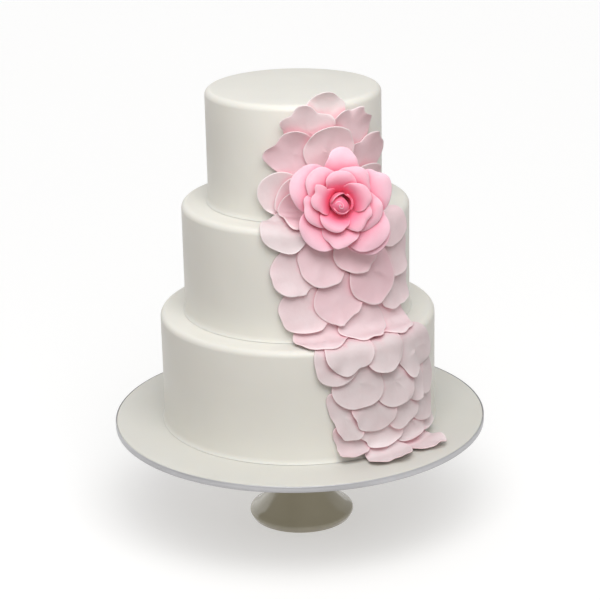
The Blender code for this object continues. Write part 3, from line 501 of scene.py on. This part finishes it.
def stand(finish):
    """Glazed pedestal: a flared foot on a foot ring, a slim stem and a flat plate."""
    under = STAND_HEIGHT - PLATE_THICKNESS
    profile = [
        (0.0, FOOT_RECESS),
        (FOOT_RADIUS - 2 * FOOT_RING, FOOT_RECESS),
        (FOOT_RADIUS - 2 * FOOT_RING, 0.0),
        (FOOT_RADIUS - 0.002, 0.0),
        *arc(FOOT_RADIUS - 0.003, 0.0045, 0.003, -50, 50, 8),
    ]
    lip, neck = profile[-1][1], under - 0.004
    flare_r = FOOT_RADIUS - 0.0025 - STEM_RADIUS
    for i in range(1, FLARE_STEPS + 1):
        share = i / FLARE_STEPS
        r = STEM_RADIUS + flare_r * (1 - share) ** FLARE_CURVE
        profile.append((r, lip + FLARE_HEIGHT * share))
    for wider, lower in ((0.001, 0.012), (0.006, 0.004), (0.016, 0.0)):
        profile.append((STEM_RADIUS + wider, neck - lower))
    profile += [(PLATE_RADIUS - 0.012, under)]
    profile += arc(PLATE_RADIUS - 0.003, under + 0.003, 0.003, -60, 0, 4)
    profile += arc(PLATE_RADIUS - 0.002, STAND_HEIGHT - 0.002, 0.002, 0, 90, 4)
    profile += [(0.0, STAND_HEIGHT)]
    return turned("glazed_stand", profile, finish, STAND_SIDES)


def board(finish):
    """The cake board under its sugar paste, with a softly rounded top edge."""
    top = BOARD_BASE + BOARD_THICKNESS
    profile = [(0.0, BOARD_BASE), (BOARD_RADIUS, BOARD_BASE)]
    profile += arc(BOARD_RADIUS - BOARD_EDGE, top - BOARD_EDGE, BOARD_EDGE, 0, 90, 5)
    profile += [(BOARD_RADIUS - 0.02, top), (0.0, top)]
    return turned("covered_board", profile, finish)


def ribbon(finish):
    """The band glued round the board's edge."""
    inner = BOARD_RADIUS + REST_GAP
    low, high = BOARD_BASE + REST_GAP, BOARD_BASE + BOARD_THICKNESS - REST_GAP
    outer = inner + RIBBON_THICKNESS
    section = [(inner, low), (outer - 0.0003, low), (outer, low + 0.0004)]
    section += [(outer, high - 0.0004), (outer - 0.0003, high), (inner, high)]
    return turned("satin_ribbon", section, finish, closed=True)


def tier(name, radius, base, height, finish):
    """One covered tier: a small skirt where the paste meets the surface below, and a rounded top edge."""
    top = base + height - REST_GAP
    profile = [(0.0, base), (radius + TIER_SKIRT * SKIRT_OUT, base)]
    for up in (0.25, 0.5, 0.75, 1.0):
        spread = TIER_SKIRT * (SKIRT_OUT - SKIRT_OUT * up) ** SKIRT_CURVE
        profile.append((radius + spread, base + TIER_SKIRT * SKIRT_UP * up))
    profile += [(radius, base + (height - TIER_EDGE) * up) for up in (0.25, 0.5, 0.75)]
    profile += arc(radius - TIER_EDGE, top - TIER_EDGE, TIER_EDGE, 0, 90, 10)
    profile += [(radius * 0.6, top), (0.0, top)]
    return turned(name, profile, finish)


# Laid petals


class Cover:
    """The surface that the petals are laid over: down each tier's side, over its ledge, onto the board.

    The corner at the foot of each side is bridged by a wide hollow curve, as a stiff petal does.
    """

    def __init__(self):
        self.pieces, self.start = [], {}
        self.length = 0.0
        tiers = (
            ("top", TOP_RADIUS, CAKE_TOP, TOP_BASE, MIDDLE_RADIUS),
            ("middle", MIDDLE_RADIUS, TOP_BASE, MIDDLE_BASE, BOTTOM_RADIUS),
            ("bottom", BOTTOM_RADIUS, MIDDLE_BASE, BOTTOM_BASE, BOARD_RADIUS + COVER_EDGE),
        )
        for name, radius, top, floor, ledge_end in tiers:
            first = top if name == "top" else top - COVER_EDGE
            self.start[name] = self.length - (top - first)
            self.line((radius, first), (radius, floor + COVER_HOLLOW))
            self.bend((radius + COVER_HOLLOW, floor + COVER_HOLLOW), COVER_HOLLOW, 180, 270)
            self.line((radius + COVER_HOLLOW, floor), (ledge_end - COVER_EDGE, floor))
            self.bend((ledge_end - COVER_EDGE, floor - COVER_EDGE), COVER_EDGE, 90, 0)

    def line(self, start, end):
        self.pieces.append((self.length, "line", start, end))
        self.length += math.dist(start, end)

    def bend(self, centre, radius, start, end):
        self.pieces.append((self.length, "bend", centre, (radius, start, end)))
        self.length += radius * math.radians(abs(end - start))

    def at(self, along):
        """(r, z) and its outward normal, this far along. Above the cake's top it runs straight up."""
        begin, kind, first, second = [p for p in self.pieces if p[0] <= max(along, 0.0)][-1]
        if kind == "line":
            run = (second[0] - first[0], second[1] - first[1])
            size = math.hypot(*run)
            step = (run[0] / size, run[1] / size)
            past = along - begin
            return (first[0] + step[0] * past, first[1] + step[1] * past), (-step[1], step[0])
        radius, start, end = second
        share = (along - begin) / (radius * math.radians(abs(end - start)))
        turn = math.radians(start + (end - start) * share)
        outward = (math.cos(turn), math.sin(turn))
        point = (first[0] + radius * outward[0], first[1] + radius * outward[1])
        return point, outward if end < start else (-outward[0], -outward[1])

    def place(self, angle, along, lift):
        """The point lifted off the cover, and the cover's normal there. The angle is in radians."""
        (r, z), (normal_r, normal_z) = self.at(along)
        ahead = Vector((math.sin(angle), -math.cos(angle), 0.0))
        normal = ahead * normal_r + Vector((0.0, 0.0, normal_z))
        return ahead * r + Vector((0.0, 0.0, z)) + normal * lift, normal


def petal_grid(sides, rings):
    """A petal's points, as shares of the way to its rim and turns from its free edge, and triangles."""
    points = [(0.0, 0.0)]
    for share in rings:
        points += [(share, 2 * math.pi * i / sides) for i in range(sides)]
    triangles = [(0, 1 + i, 1 + (i + 1) % sides) for i in range(sides)]
    for ring in range(len(rings) - 1):
        inner, outer = 1 + ring * sides, 1 + (ring + 1) * sides
        for i in range(sides):
            j = (i + 1) % sides
            triangles += [(inner + i, outer + i, outer + j), (inner + i, outer + j, inner + j)]
    return points, triangles


def folded(name, turn):
    """How far a petal's folds move its rim out and lift it at this turn, in mm."""
    out = lift = 0.0
    for at, bulge, rise, spread in FOLDS.get(name, ()):
        away = (math.degrees(turn) - at + 180) % 360 - 180
        share = math.exp(-((away / spread) ** 2))
        out += bulge * share
        lift += rise * share
    return out, lift


def petal_form(petal, share, turn, waves):
    """(across, along, lift) of a petal's point in metres, before it is turned and laid."""
    root = (1 - math.cos(turn)) / 2
    wave = sum(size * math.cos(count * turn + phase) for count, size, phase in waves)
    out, raised = folded(petal.name, turn)
    out *= share**2
    calm = 1 - ROOT_CALM * root
    reach = share * (1 + RIM_WAVE * wave * calm)
    across = reach * petal.width / 2 / FULL_WIDTH * math.sin(turn) * (1 - ROOT_NARROWING * root**2)
    across += out * math.sin(turn)
    along = reach * petal.length / 2 * math.cos(turn) + out * math.cos(turn)
    toward_tip = max(along / petal.length + 0.5, 0.0)
    lift = petal.flare * toward_tip**FLARE_RISE + raised * share**4
    lift += DISHED[petal.name[0]] * share**DISH_RISE * calm
    lift += petal.ruffle * wave * share**3 * (1 - ROOT_STILL * root)
    return across * MILLIMETRE, along * MILLIMETRE, ROOT_LIFT + max(lift, 0.0) * MILLIMETRE


def drape(place, spots, triangles, below):
    """Lifts that clear everything below a sheet, with what they add spread smoothly over it."""
    placed = [place(first, second, 0.0) for first, second, _ in spots]
    need = [0.0] * len(spots)
    near = [set() for _ in spots]
    samples = [((i,), placed[i]) for i in range(len(spots))]
    for triangle in triangles:
        a, b, c = triangle
        for i, j in ((a, b), (b, c), (c, a)):
            near[i].add(j)
            near[j].add(i)
        point, normal = (sum((placed[i][k] for i in triangle), Vector()) / 3 for k in (0, 1))
        samples.append((triangle, (point, normal)))
    for corners, (point, normal) in samples:
        normal = normal.normalized()
        hit = below.ray_cast(point + normal * RAY_REACH, -normal, 2 * RAY_REACH)[3]
        if hit is not None:
            lift = sum(spots[i][2] for i in corners) / len(corners)
            short = RAY_REACH - hit + PETAL_GAP - lift
            for i in corners:
                need[i] = max(need[i], short)
    extra = list(need)
    near = [tuple(n) for n in near]
    for _ in range(SPREAD_PASSES):
        around = [sum(extra[j] for j in links) / len(links) for links in near]
        extra = [max(n, (e + mean) / 2) for n, e, mean in zip(need, extra, around)]
    return [spot[2] + e for spot, e in zip(spots, extra)]


def two_sides(triangles, count):
    """The triangles of a sheet's underside, and the same ones over it, count points further on."""
    return [tuple(reversed(t)) for t in triangles] + [tuple(c + count for c in t) for t in triangles]


def sheet_faces(triangles, count, sides):
    """Both sides of a sheet, split alike, and its rounded rim through one more ring at the end."""
    last = count - sides
    faces = two_sides(triangles, count)
    for i in range(sides):
        j = (i + 1) % sides
        faces.append((last + i, last + j, 2 * count + j, 2 * count + i))
        faces.append((2 * count + i, 2 * count + j, count + last + j, count + last + i))
    return faces


def waves_of(name, sizes):
    draw = random.Random(name)
    return [(count, size, draw.uniform(0, 2 * math.pi)) for count, size in sizes]


def petal_tint(petal, share, turn):
    """The petal's colour at a point, with a painted highlight near its free rim and painted shade at its
    root.
    """
    # Painted shade: on the middle and bottom tiers the rim's own edge, which faces down, is painted a
    # pink shade line
    if share == 1.0 and petal.tier != "top":
        return mixed(PETAL_RIM_HIGHLIGHT, PAINTED_SHADE_PINK, 0.6)
    root = (1 - math.cos(turn)) / 2
    blush = BLUSH_OF.get(petal.name, BLUSH[petal.name[0]])
    # Painted light and shade: the petal's colour is made lighter or darker for the light it gets
    shade = PAINTED_LIGHT_AND_SHADE_OF.get(petal.name, PAINTED_LIGHT_AND_SHADE[petal.name[0]])
    # Painted shade: the top tier's petals are darker toward their free ends and lighter at their roots
    if petal.tier == "top":
        shade -= TOP_TIP_PAINTED_SHADE * share * math.cos(turn)
    # Painted shade: pinker toward the root, which the next petal covers
    pink = mixed(PALE_PETAL, PINK_PETAL, min(blush + 0.15 * share * root, 1.0))
    # Painted highlight: the paste is made paler near the free rim, where its edge catches the light
    near_rim = smooth_step(0.93, 0.985, share)
    return mixed(mixed((0, 0, 0), pink, shade), PETAL_RIM_HIGHLIGHT, 0.6 * near_rim * (1 - 0.6 * root))


def laid_petal(cover, petal, below, finish):
    """One petal, laid over the cover on what is already there."""
    waves = waves_of(petal.name, ((2, 0.5), (3, 0.8), (5, 0.5)))
    grid, triangles = petal_grid(PETAL_SIDES, PETAL_RINGS)
    rim = [(1.0, turn) for _, turn in grid[-PETAL_SIDES:]]
    middle = cover.start[petal.tier] + petal.drop * MILLIMETRE
    turn = math.radians(petal.turn)
    loose = min(petal.flare / LOOSE_FLARE, 1.0)
    seed = Vector([phase for _, _, phase in waves]) * 5
    spots = []
    for share, around in grid + rim:
        across, along, lift = petal_form(petal, share, around, waves)
        sideways = along * math.sin(turn) - across * math.cos(turn)
        down = middle + along * math.cos(turn) + across * math.sin(turn)
        radius = cover.at(down)[0][0]
        spot = seed + Vector((across, along, 0)) * BUMPS_TO_A_METRE
        bumps = FINE_BUMP * (BUMP_LIFT + noise.noise(spot)) + BROAD_BUMP * noise.noise(spot * 0.5)
        lift += loose * share * bumps
        spots.append((math.radians(petal.angle) + sideways / radius, down, lift))
    lifts = drape(cover.place, spots[: len(grid)], triangles, below)
    thickness = [PETAL_THICKNESS + (PETAL_RIM - PETAL_THICKNESS) * share for share, _ in grid]
    under = [cover.place(a, d, lift)[0] for (a, d, _), lift in zip(spots, lifts)]
    over = [cover.place(a, d, lift + t)[0] for (a, d, _), lift, t in zip(spots, lifts, thickness)]
    ends = zip(spots[len(grid) :], lifts[-PETAL_SIDES:])
    edge = [cover.place(a, d, lift + PETAL_RIM / 2)[0] for (a, d, _), lift in ends]
    tints = [petal_tint(petal, share, around) for share, around in grid]
    tints = tints + tints + [petal_tint(petal, *spot) for spot in rim]
    faces = sheet_faces(triangles, len(grid), PETAL_SIDES)
    made = mesh_object("sugar_petal_" + petal.name, under + over + edge, faces, finish, 80, tints)
    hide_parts("petal_" + petal.name)
    return made


# Rose


def rose_frame():
    """Where the rose sits: its own X is to the right, Y is up the flower and Z is out along its axis."""
    angle, facing, tilt = (math.radians(a) for a in (ROSE_ANGLE, ROSE_FACING, ROSE_TILT))
    out = Vector((math.sin(facing) * math.cos(tilt), -math.cos(facing) * math.cos(tilt), math.sin(tilt)))
    right = Vector((math.cos(facing), math.sin(facing), 0.0))
    axes = Matrix((right, out.cross(right), out)).transposed().to_4x4()
    return Matrix.Translation((ROSE_OUT * math.sin(angle), -ROSE_OUT * math.cos(angle), ROSE_UP)) @ axes


def blunted(value):
    """A sine or cosine that makes a round outline a little squarer."""
    return math.copysign(abs(value) ** ROSE_ROUNDNESS, value)


def rose_form(petal, share, turn, waves):
    """A rose petal's point in the flower's own axes, in millimetres."""
    root = (1 - math.cos(turn)) / 2
    wave = sum(size * math.cos(count * turn + phase) for count, size, phase in waves)
    out_fold, raised = folded("rose_" + petal.name, turn)
    run = 0.5 + 0.5 * share * blunted(math.cos(turn))
    run += out_fold * math.cos(turn) * share**2 / petal.reach
    half_width = petal.width / 2 / FULL_WIDTH
    waved = 1 + ROSE_RIM_WAVE * wave * (1 - root)
    sideways = share * waved * half_width * blunted(math.sin(turn))
    sideways *= 1 - ROSE_NARROWING * root**2
    sideways += out_fold * math.sin(turn) * share**2
    side = sideways / petal.width * 2
    weights = ((1 - run) ** 2, 2 * run * (1 - run), run**2)
    start = (ROSE_ROOT[0], min(ROSE_ROOT[1] * petal.rise, ROSE_ROOT_TOP))
    lines = zip(start, petal.belly, (petal.reach, petal.rise))
    out, rise = (sum(w * p for w, p in zip(weights, line)) for line in lines)
    out -= petal.cup * (1 - math.cos(sideways / petal.cup))
    across = petal.cup * math.sin(sideways / petal.cup)
    edge = share**4
    rise += edge * (wave * petal.curl * 0.5 - petal.curl * (1 - root) + raised)
    rise += run * (petal.lean * side - petal.droop * side**2)
    toward = math.radians(petal.around)
    x = out * math.cos(toward) - across * math.sin(toward)
    y = out * math.sin(toward) + across * math.cos(toward)
    return x, y, rise


def normals_of(points, triangles):
    """Smooth normals of an open sheet, one for each point."""
    normals = [Vector() for _ in points]
    for a, b, c in triangles:
        face = (points[b] - points[a]).cross(points[c] - points[a])
        for corner in (a, b, c):
            normals[corner] += face
    return [n.normalized() for n in normals]


def rose_tint(petal, share, turn):
    """Deep pink in the heart and at the roots, partly the paste's own colour and partly painted shade
    where petals lie over them; light on the outer petals, with a painted highlight near their rims.
    """
    # Painted shade: the rim's own edge is painted a deep pink shade line
    if share == 1.0:
        return mixed(ROSE_RIM_HIGHLIGHT, ROSE_DEEP, 0.7)
    root = (1 - math.cos(turn)) / 2
    run = 0.5 + 0.5 * share * math.cos(turn)
    heart = 1 - smooth_step(14, 48, petal.reach)
    # Partly painted shade: deeper pink toward the roots and the heart, where petals lie over them
    deep = 0.85 * (1 - smooth_step(0.3, 0.95, run)) + 0.35 * heart
    colour = mixed(ROSE_LIGHT, ROSE_DEEP, min(deep, 1.0))
    pale = 0.6
    if petal.reach < ROSE_BUD_REACH:
        colour = mixed(colour, ROSE_HEART, 0.6)
        pale = 0.25
    # Painted highlight: paler near the rims, where they catch the light
    return mixed(colour, ROSE_RIM_HIGHLIGHT, pale * smooth_step(0.9, 0.985, share) * (1 - 0.8 * root))


def rose(below, finish):
    """The open rose: its petals, its rolled bud and the pad at its back."""
    frame_of_rose = rose_frame()
    out = (frame_of_rose.to_3x3() @ Vector((0.0, 0.0, 1.0))).normalized()

    def place(x, y, height):
        return frame_of_rose @ Vector((x, y, height)), out

    points, faces, tints = [], [], []

    def add(more_points, more_faces, more_tints):
        first = len(points)
        points.extend(more_points)
        faces.extend(tuple(first + c for c in face) for face in more_faces)
        tints.extend(more_tints)

    grid, triangles = petal_grid(PETAL_SIDES, PETAL_RINGS)
    rim = [(1.0, turn) for _, turn in grid[-PETAL_SIDES:]]
    for petal in ROSE_PETALS:
        waves = waves_of("rose " + petal.name, ((2, 0.4), (3, 0.6), (5, 0.4)))
        forms = (rose_form(petal, share, turn, waves) for share, turn in grid + rim)
        spots = [tuple(v * MILLIMETRE for v in form) for form in forms]
        inside = spots[: len(grid)]
        heights = [s[2] for s in inside]
        if petal.rise < ROSE_OUTER_RISE:
            heights = drape(place, inside, triangles, below)
        under = [place(x, y, h)[0] for (x, y, _), h in zip(inside, heights)]
        normals = normals_of(under, triangles)
        facing = 1 if sum((n.dot(out) for n in normals), 0.0) > 0 else -1
        over = [p + n * facing * PETAL_THICKNESS for p, n in zip(under, normals)]
        raised = [h - s[2] for h, s in zip(heights[-PETAL_SIDES:], inside[-PETAL_SIDES:])]
        edge = [place(x, y, h + r)[0] for (x, y, h), r in zip(spots[len(grid) :], raised)]
        edge = [p + n * facing * PETAL_THICKNESS / 2 for p, n in zip(edge, normals[-PETAL_SIDES:])]
        shades = [rose_tint(petal, share, turn) for share, turn in grid]
        shades = shades + shades + [rose_tint(petal, share, turn) for share, turn in rim]
        add(under + over + edge, sheet_faces(triangles, len(grid), PETAL_SIDES), shades)
    add(*rose_bud(place))
    add(*rose_core(place))
    add(*rose_pad(place, below))
    made = mesh_object("sugar_rose", points, faces, finish, 80, tints)
    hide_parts("rose")
    return made


def bud_oval(angle):
    """The bud is rolled a little oval: its width at this angle, as a share of its round one."""
    return 1 - 0.14 * math.cos(2 * (angle - 0.7))


def bud_point(place, radius, angle, height):
    """A point of the bud, from its own middle and in mm."""
    x = ROSE_BUD_MIDDLE[0] + radius * math.cos(angle)
    y = ROSE_BUD_MIDDLE[1] + radius * math.sin(angle)
    return place(x * MILLIMETRE, y * MILLIMETRE, height * MILLIMETRE)[0]


def rose_bud(place):
    """A sheet rolled into a pointed bud, with the spiral of its edge at the tip."""
    points, faces, tints = [], [], []
    for inset in (0.0, BUD_SHEET):
        for i in range(BUD_STEPS + 1):
            wound = i / BUD_STEPS
            angle = 2 * math.pi * BUD_TURNS * wound + 0.6
            widest = BUD_INNER + BUD_WIDENING * wound**1.3
            top = BUD_TIP - BUD_DROP * wound
            for k in range(BUD_LEVELS + 1):
                up = k / BUD_LEVELS
                radius = bud_oval(angle) * widest * (1 - 0.3 * up**5) - inset
                points.append(bud_point(place, radius, angle, BUD_FOOT + (top - BUD_FOOT) * up))
                colour = mixed(ROSE_DEEP, ROSE_LIGHT, 0.35 * up**3)
                # Painted highlight: the bud's top edge is paler, where it catches the light
                pale = (0.95 - 0.6 * wound) * smooth_step(0.95, 1.0, up)
                tints.append(mixed(colour, ROSE_RIM_HIGHLIGHT, pale))
    row = BUD_LEVELS + 1
    half = (BUD_STEPS + 1) * row
    for i in range(BUD_STEPS):
        for k in range(BUD_LEVELS):
            a, b = i * row + k, (i + 1) * row + k
            faces.append((a, b, b + 1, a + 1))
            faces.append((half + a + 1, half + b + 1, half + b, half + a))
        foot, top = i * row, i * row + BUD_LEVELS
        faces.append((foot, half + foot, half + foot + row, foot + row))
        faces.append((top + row, half + top + row, half + top, top))
    for k in range(BUD_LEVELS):
        first, last = k, BUD_STEPS * row + k
        faces.append((first, first + 1, half + first + 1, half + first))
        faces.append((half + last, half + last + 1, last + 1, last))
    return points, faces, tints


def rose_core(place):
    """The cone of paste that the bud is rolled on, which fills it to just under its edges."""
    points, faces = [bud_point(place, 0.0, 0.0, CORE_PROFILE[0][1])], []
    for radius, height in CORE_PROFILE[1:-1]:
        for i in range(CORE_SIDES):
            angle = 2 * math.pi * i / CORE_SIDES
            points.append(bud_point(place, radius * bud_oval(angle), angle, height))
    points.append(bud_point(place, 0.0, 0.0, CORE_PROFILE[-1][1]))
    rings = len(CORE_PROFILE) - 2
    for i in range(CORE_SIDES):
        j = (i + 1) % CORE_SIDES
        faces.append((0, 1 + i, 1 + j))
        for k in range(rings - 1):
            a, b = 1 + k * CORE_SIDES, 1 + (k + 1) * CORE_SIDES
            faces.append((a + i, b + i, b + j, a + j))
        last = 1 + (rings - 1) * CORE_SIDES
        faces.append((last + i, len(points) - 1, last + j))
    return points, faces, [ROSE_DEEP] * len(points)


def rose_pad(place, below):
    """The pad of paste at the flower's back, pressed onto what is behind it."""
    grid, triangles = petal_grid(PAD_SIDES, PAD_RINGS)
    radius = ROSE_BACK_RADIUS * MILLIMETRE
    spots = []
    for share, turn in grid:
        spots.append((radius * share * math.cos(turn), radius * share * math.sin(turn), PAD_BACK))
    backs = drape(place, spots, triangles, below)
    under = [place(x, y, h)[0] for (x, y, _), h in zip(spots, backs)]
    fronts = [ROSE_BACK_FRONT * (1 - 0.6 * share**2) * MILLIMETRE for share, _ in grid]
    tops = [max(h + PAD_LEAST, front) for front, h in zip(fronts, backs)]
    over = [place(x, y, h)[0] for (x, y, _), h in zip(spots, tops)]
    count = len(grid)
    faces = two_sides(triangles, count)
    last = count - PAD_SIDES
    for i in range(PAD_SIDES):
        a, b = last + i, last + (i + 1) % PAD_SIDES
        faces.append((a, b, b + count, a + count))
    return under + over, faces, [ROSE_LIGHT] * (2 * count)


def tree_of(objects):
    """One search tree over all the faces of these objects."""
    points, faces = [], []
    for made in objects:
        first = len(points)
        points += [v.co for v in made.data.vertices]
        faces += [[first + i for i in f.vertices] for f in made.data.polygons]
    return BVHTree.FromPolygons(points, faces)


def paint_crevice_shade(pieces):
    """Paints shade into each petal: a deeper pink where another one lies close over it."""
    above = tree_of(pieces)
    for made in pieces:
        mesh = made.data
        deep, strength = PAINTED_SHADE_PINK, CREVICE_SHADE_STRENGTH
        # The rose's painted shade takes its heart colour
        if made.name == "sugar_rose":
            deep, strength = ROSE_HEART, ROSE_CREVICE_SHADE_STRENGTH
        points = [(v.co.copy(), v.normal.copy()) for v in mesh.vertices]
        hits = (above.ray_cast(p + n * REST_GAP, n, CREVICE_REACH)[3] for p, n in points)
        covered = [0.0 if hit is None else 1 - (hit / CREVICE_REACH) ** 2 for hit in hits]
        near = [[] for _ in points]
        for edge in mesh.edges:
            a, b = edge.vertices
            if points[a][1].dot(points[b][1]) > CREVICE_ALIKE:
                near[a].append(b)
                near[b].append(a)
        for _ in range(CREVICE_PASSES):
            around = [sum(covered[j] for j in links) / max(len(links), 1) for links in near]
            covered = [(share + mean) / 2 for share, mean in zip(covered, around)]
        # Painted shade: the colour goes toward the deep pink where the petal is covered
        for share, spot in zip(covered, mesh.color_attributes["tint"].data):
            spot.color = (*mixed(tuple(spot.color)[:3], deep, strength * share), 1.0)


# Studio


def camera():
    """The photograph's view: slightly above the cake, from its front, with the camera tilted a little."""
    pitch, yaw, roll = (math.radians(a) for a in (CAMERA_PITCH, CAMERA_YAW, CAMERA_ROLL))
    ahead = Vector((math.sin(yaw) * math.cos(pitch), math.cos(yaw) * math.cos(pitch), math.sin(pitch)))
    level = ahead.cross(Vector((0, 0, 1))).normalized()
    above = level.cross(ahead)
    right = math.cos(roll) * level + math.sin(roll) * above
    up = -math.sin(roll) * level + math.cos(roll) * above
    lens = bpy.data.cameras.new("camera")
    lens.sensor_width = CAMERA_SENSOR
    lens.lens = CAMERA_LENS
    made = new_object("camera", lens)
    axes = Matrix((right, up, -ahead)).transposed().to_4x4()
    made.matrix_world = Matrix.Translation(CAMERA_PLACE) @ axes
    bpy.context.scene.camera = made


def area_light(name, place, aim, size, power):
    lamp = bpy.data.lights.new(name, "AREA")
    lamp.shape = "RECTANGLE"
    lamp.size, lamp.size_y = size
    lamp.energy = power
    made = new_object(name, lamp)
    made.location = place
    made.rotation_euler = (Vector(aim) - Vector(place)).to_track_quat("-Z", "Y").to_euler()


def sky():
    """Soft light from all round, even from level upward and weak from below."""
    world = bpy.data.worlds.new("studio")
    world.use_nodes = True
    tree = world.node_tree
    place = tree.nodes.new("ShaderNodeTexCoord")
    height = tree.nodes.new("ShaderNodeSeparateXYZ")
    ramp = tree.nodes.new("ShaderNodeValToRGB")
    stops = ramp.color_ramp.elements
    stops[0].position, stops[1].position = 0.0, 0.9
    stops[0].color = (*SKY_BELOW, 1.0)
    stops[1].color = (*SKY_ABOVE, 1.0)
    stops.new(0.45).color = (*SKY_LEVEL, 1.0)
    half = tree.nodes.new("ShaderNodeMapRange")
    half.inputs["From Min"].default_value = -1.0
    tree.links.new(place.outputs["Generated"], height.inputs["Vector"])
    tree.links.new(height.outputs["Z"], half.inputs["Value"])
    tree.links.new(half.outputs["Result"], ramp.inputs["Fac"])
    tree.links.new(ramp.outputs["Color"], tree.nodes["Background"].inputs["Color"])
    bpy.context.scene.world = world


def sun_light(name, elevation, to_right, softness, strength):
    """A wide soft sun, this many degrees above the floor and round to the right from the camera."""
    lamp = bpy.data.lights.new(name, "SUN")
    lamp.angle = math.radians(softness)
    lamp.energy = strength
    up, side = math.radians(elevation), math.radians(to_right)
    place = Vector((math.cos(up) * math.sin(side), -math.cos(up) * math.cos(side), math.sin(up)))
    new_object(name, lamp).rotation_euler = (-place).to_track_quat("-Z", "Y").to_euler()


def stage_material(name, glow, base):
    """A matt white that glows faintly, so that it shows plain."""
    made = Nodes(name, Roughness=0.9, Specular_IOR_Level=0.1, Emission_Strength=glow)
    made.shader.inputs["Emission Color"].default_value = (1.0, 1.0, 1.0, 1.0)
    low, high = (base, base, base - 0.005), (base + 0.02, base + 0.02, base + 0.015)
    made.feed("Base Color", made.mix(made.noise(0.8, 1.0), low, high))
    return made.material


def stage_surface(name, points, faces, material):
    """A surface of the studio, which sends no soft light back onto the cake."""
    mesh = bpy.data.meshes.new(name)
    mesh.from_pydata(points, [], faces)
    mesh.materials.append(material)
    made = new_object(name, mesh)
    made.visible_diffuse = False
    return made


def floor():
    half, z = FLOOR_HALF, FLOOR_HEIGHT
    corners = [(-half, -half, z), (half, -half, z), (half, half, z), (-half, half, z)]
    finish = stage_material("floor_white", glow=0.45, base=0.58)
    stage_surface("floor", corners, [(0, 1, 2, 3)], finish)


def backdrop():
    """A round white wall far behind, which the lamps and the sky shine through."""
    points, faces = [], []
    for i in range(WALL_SIDES):
        angle = 2 * math.pi * i / WALL_SIDES
        x, y = WALL_RADIUS * math.cos(angle), WALL_RADIUS * math.sin(angle)
        points += [(x, y, FLOOR_HEIGHT), (x, y, WALL_HEIGHT)]
        j = (i + 1) % WALL_SIDES
        faces.append((2 * i, 2 * i + 1, 2 * j + 1, 2 * j))
    finish = stage_material("backdrop_white", glow=0.97, base=0.02)
    wall = stage_surface("backdrop", points, faces, finish)
    wall.visible_glossy = False
    wall.visible_shadow = False


def studio():
    """A white floor and wall, under two soft suns and one small lamp in front of the rose."""
    floor()
    backdrop()
    sky()
    sun_light("key_sun", elevation=58, to_right=8, softness=50, strength=1.30)
    area_light("front_lamp", (0.03, -0.50, 0.70), aim=(0, 0, 0.33), size=(0.4, 0.25), power=1.50)
    sun_light("back_sun", elevation=15, to_right=215, softness=60, strength=0.52)
    bpy.context.scene.view_settings.view_transform = "Standard"
    bpy.context.scene.view_settings.look = "None"


def main():
    camera()
    studio()
    paste = paste_material("sugar_paste", PASTE)
    board_paste = paste_material("board_paste", BOARD_PASTE_WITH_PAINTED_SHADE)
    blush = petal_material("petal_paste", 0.1, (1.0, 0.6, 0.6))
    pink = petal_material("rose_paste", 0.15, (1.0, 0.5, 0.55))
    pieces = [(board(board_paste), "board", "sugar_paste")]
    for name, radius, base, height in TIERS:
        covered = tier("paste_tier_" + name, radius, base, height, paste)
        pieces.append((covered, "tier_" + name, "sugar_paste"))
    solids = [piece for piece, _, _ in pieces]
    first_petal = len(solids)
    pieces.append((stand(glaze_material()), "stand", "stand_glaze"))
    pieces.append((ribbon(ribbon_material()), "board_ribbon", "board_ribbon"))
    for piece, node, slot in pieces:
        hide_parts(node)
        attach(piece, "root")
    cover = Cover()
    for petal in PETALS:
        made = laid_petal(cover, petal, tree_of(solids), blush)
        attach(made, "root")
        solids.append(made)
    flower = rose(tree_of(solids), pink)
    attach(flower, "root")
    paint_crevice_shade(solids[first_petal:] + [flower])


main()
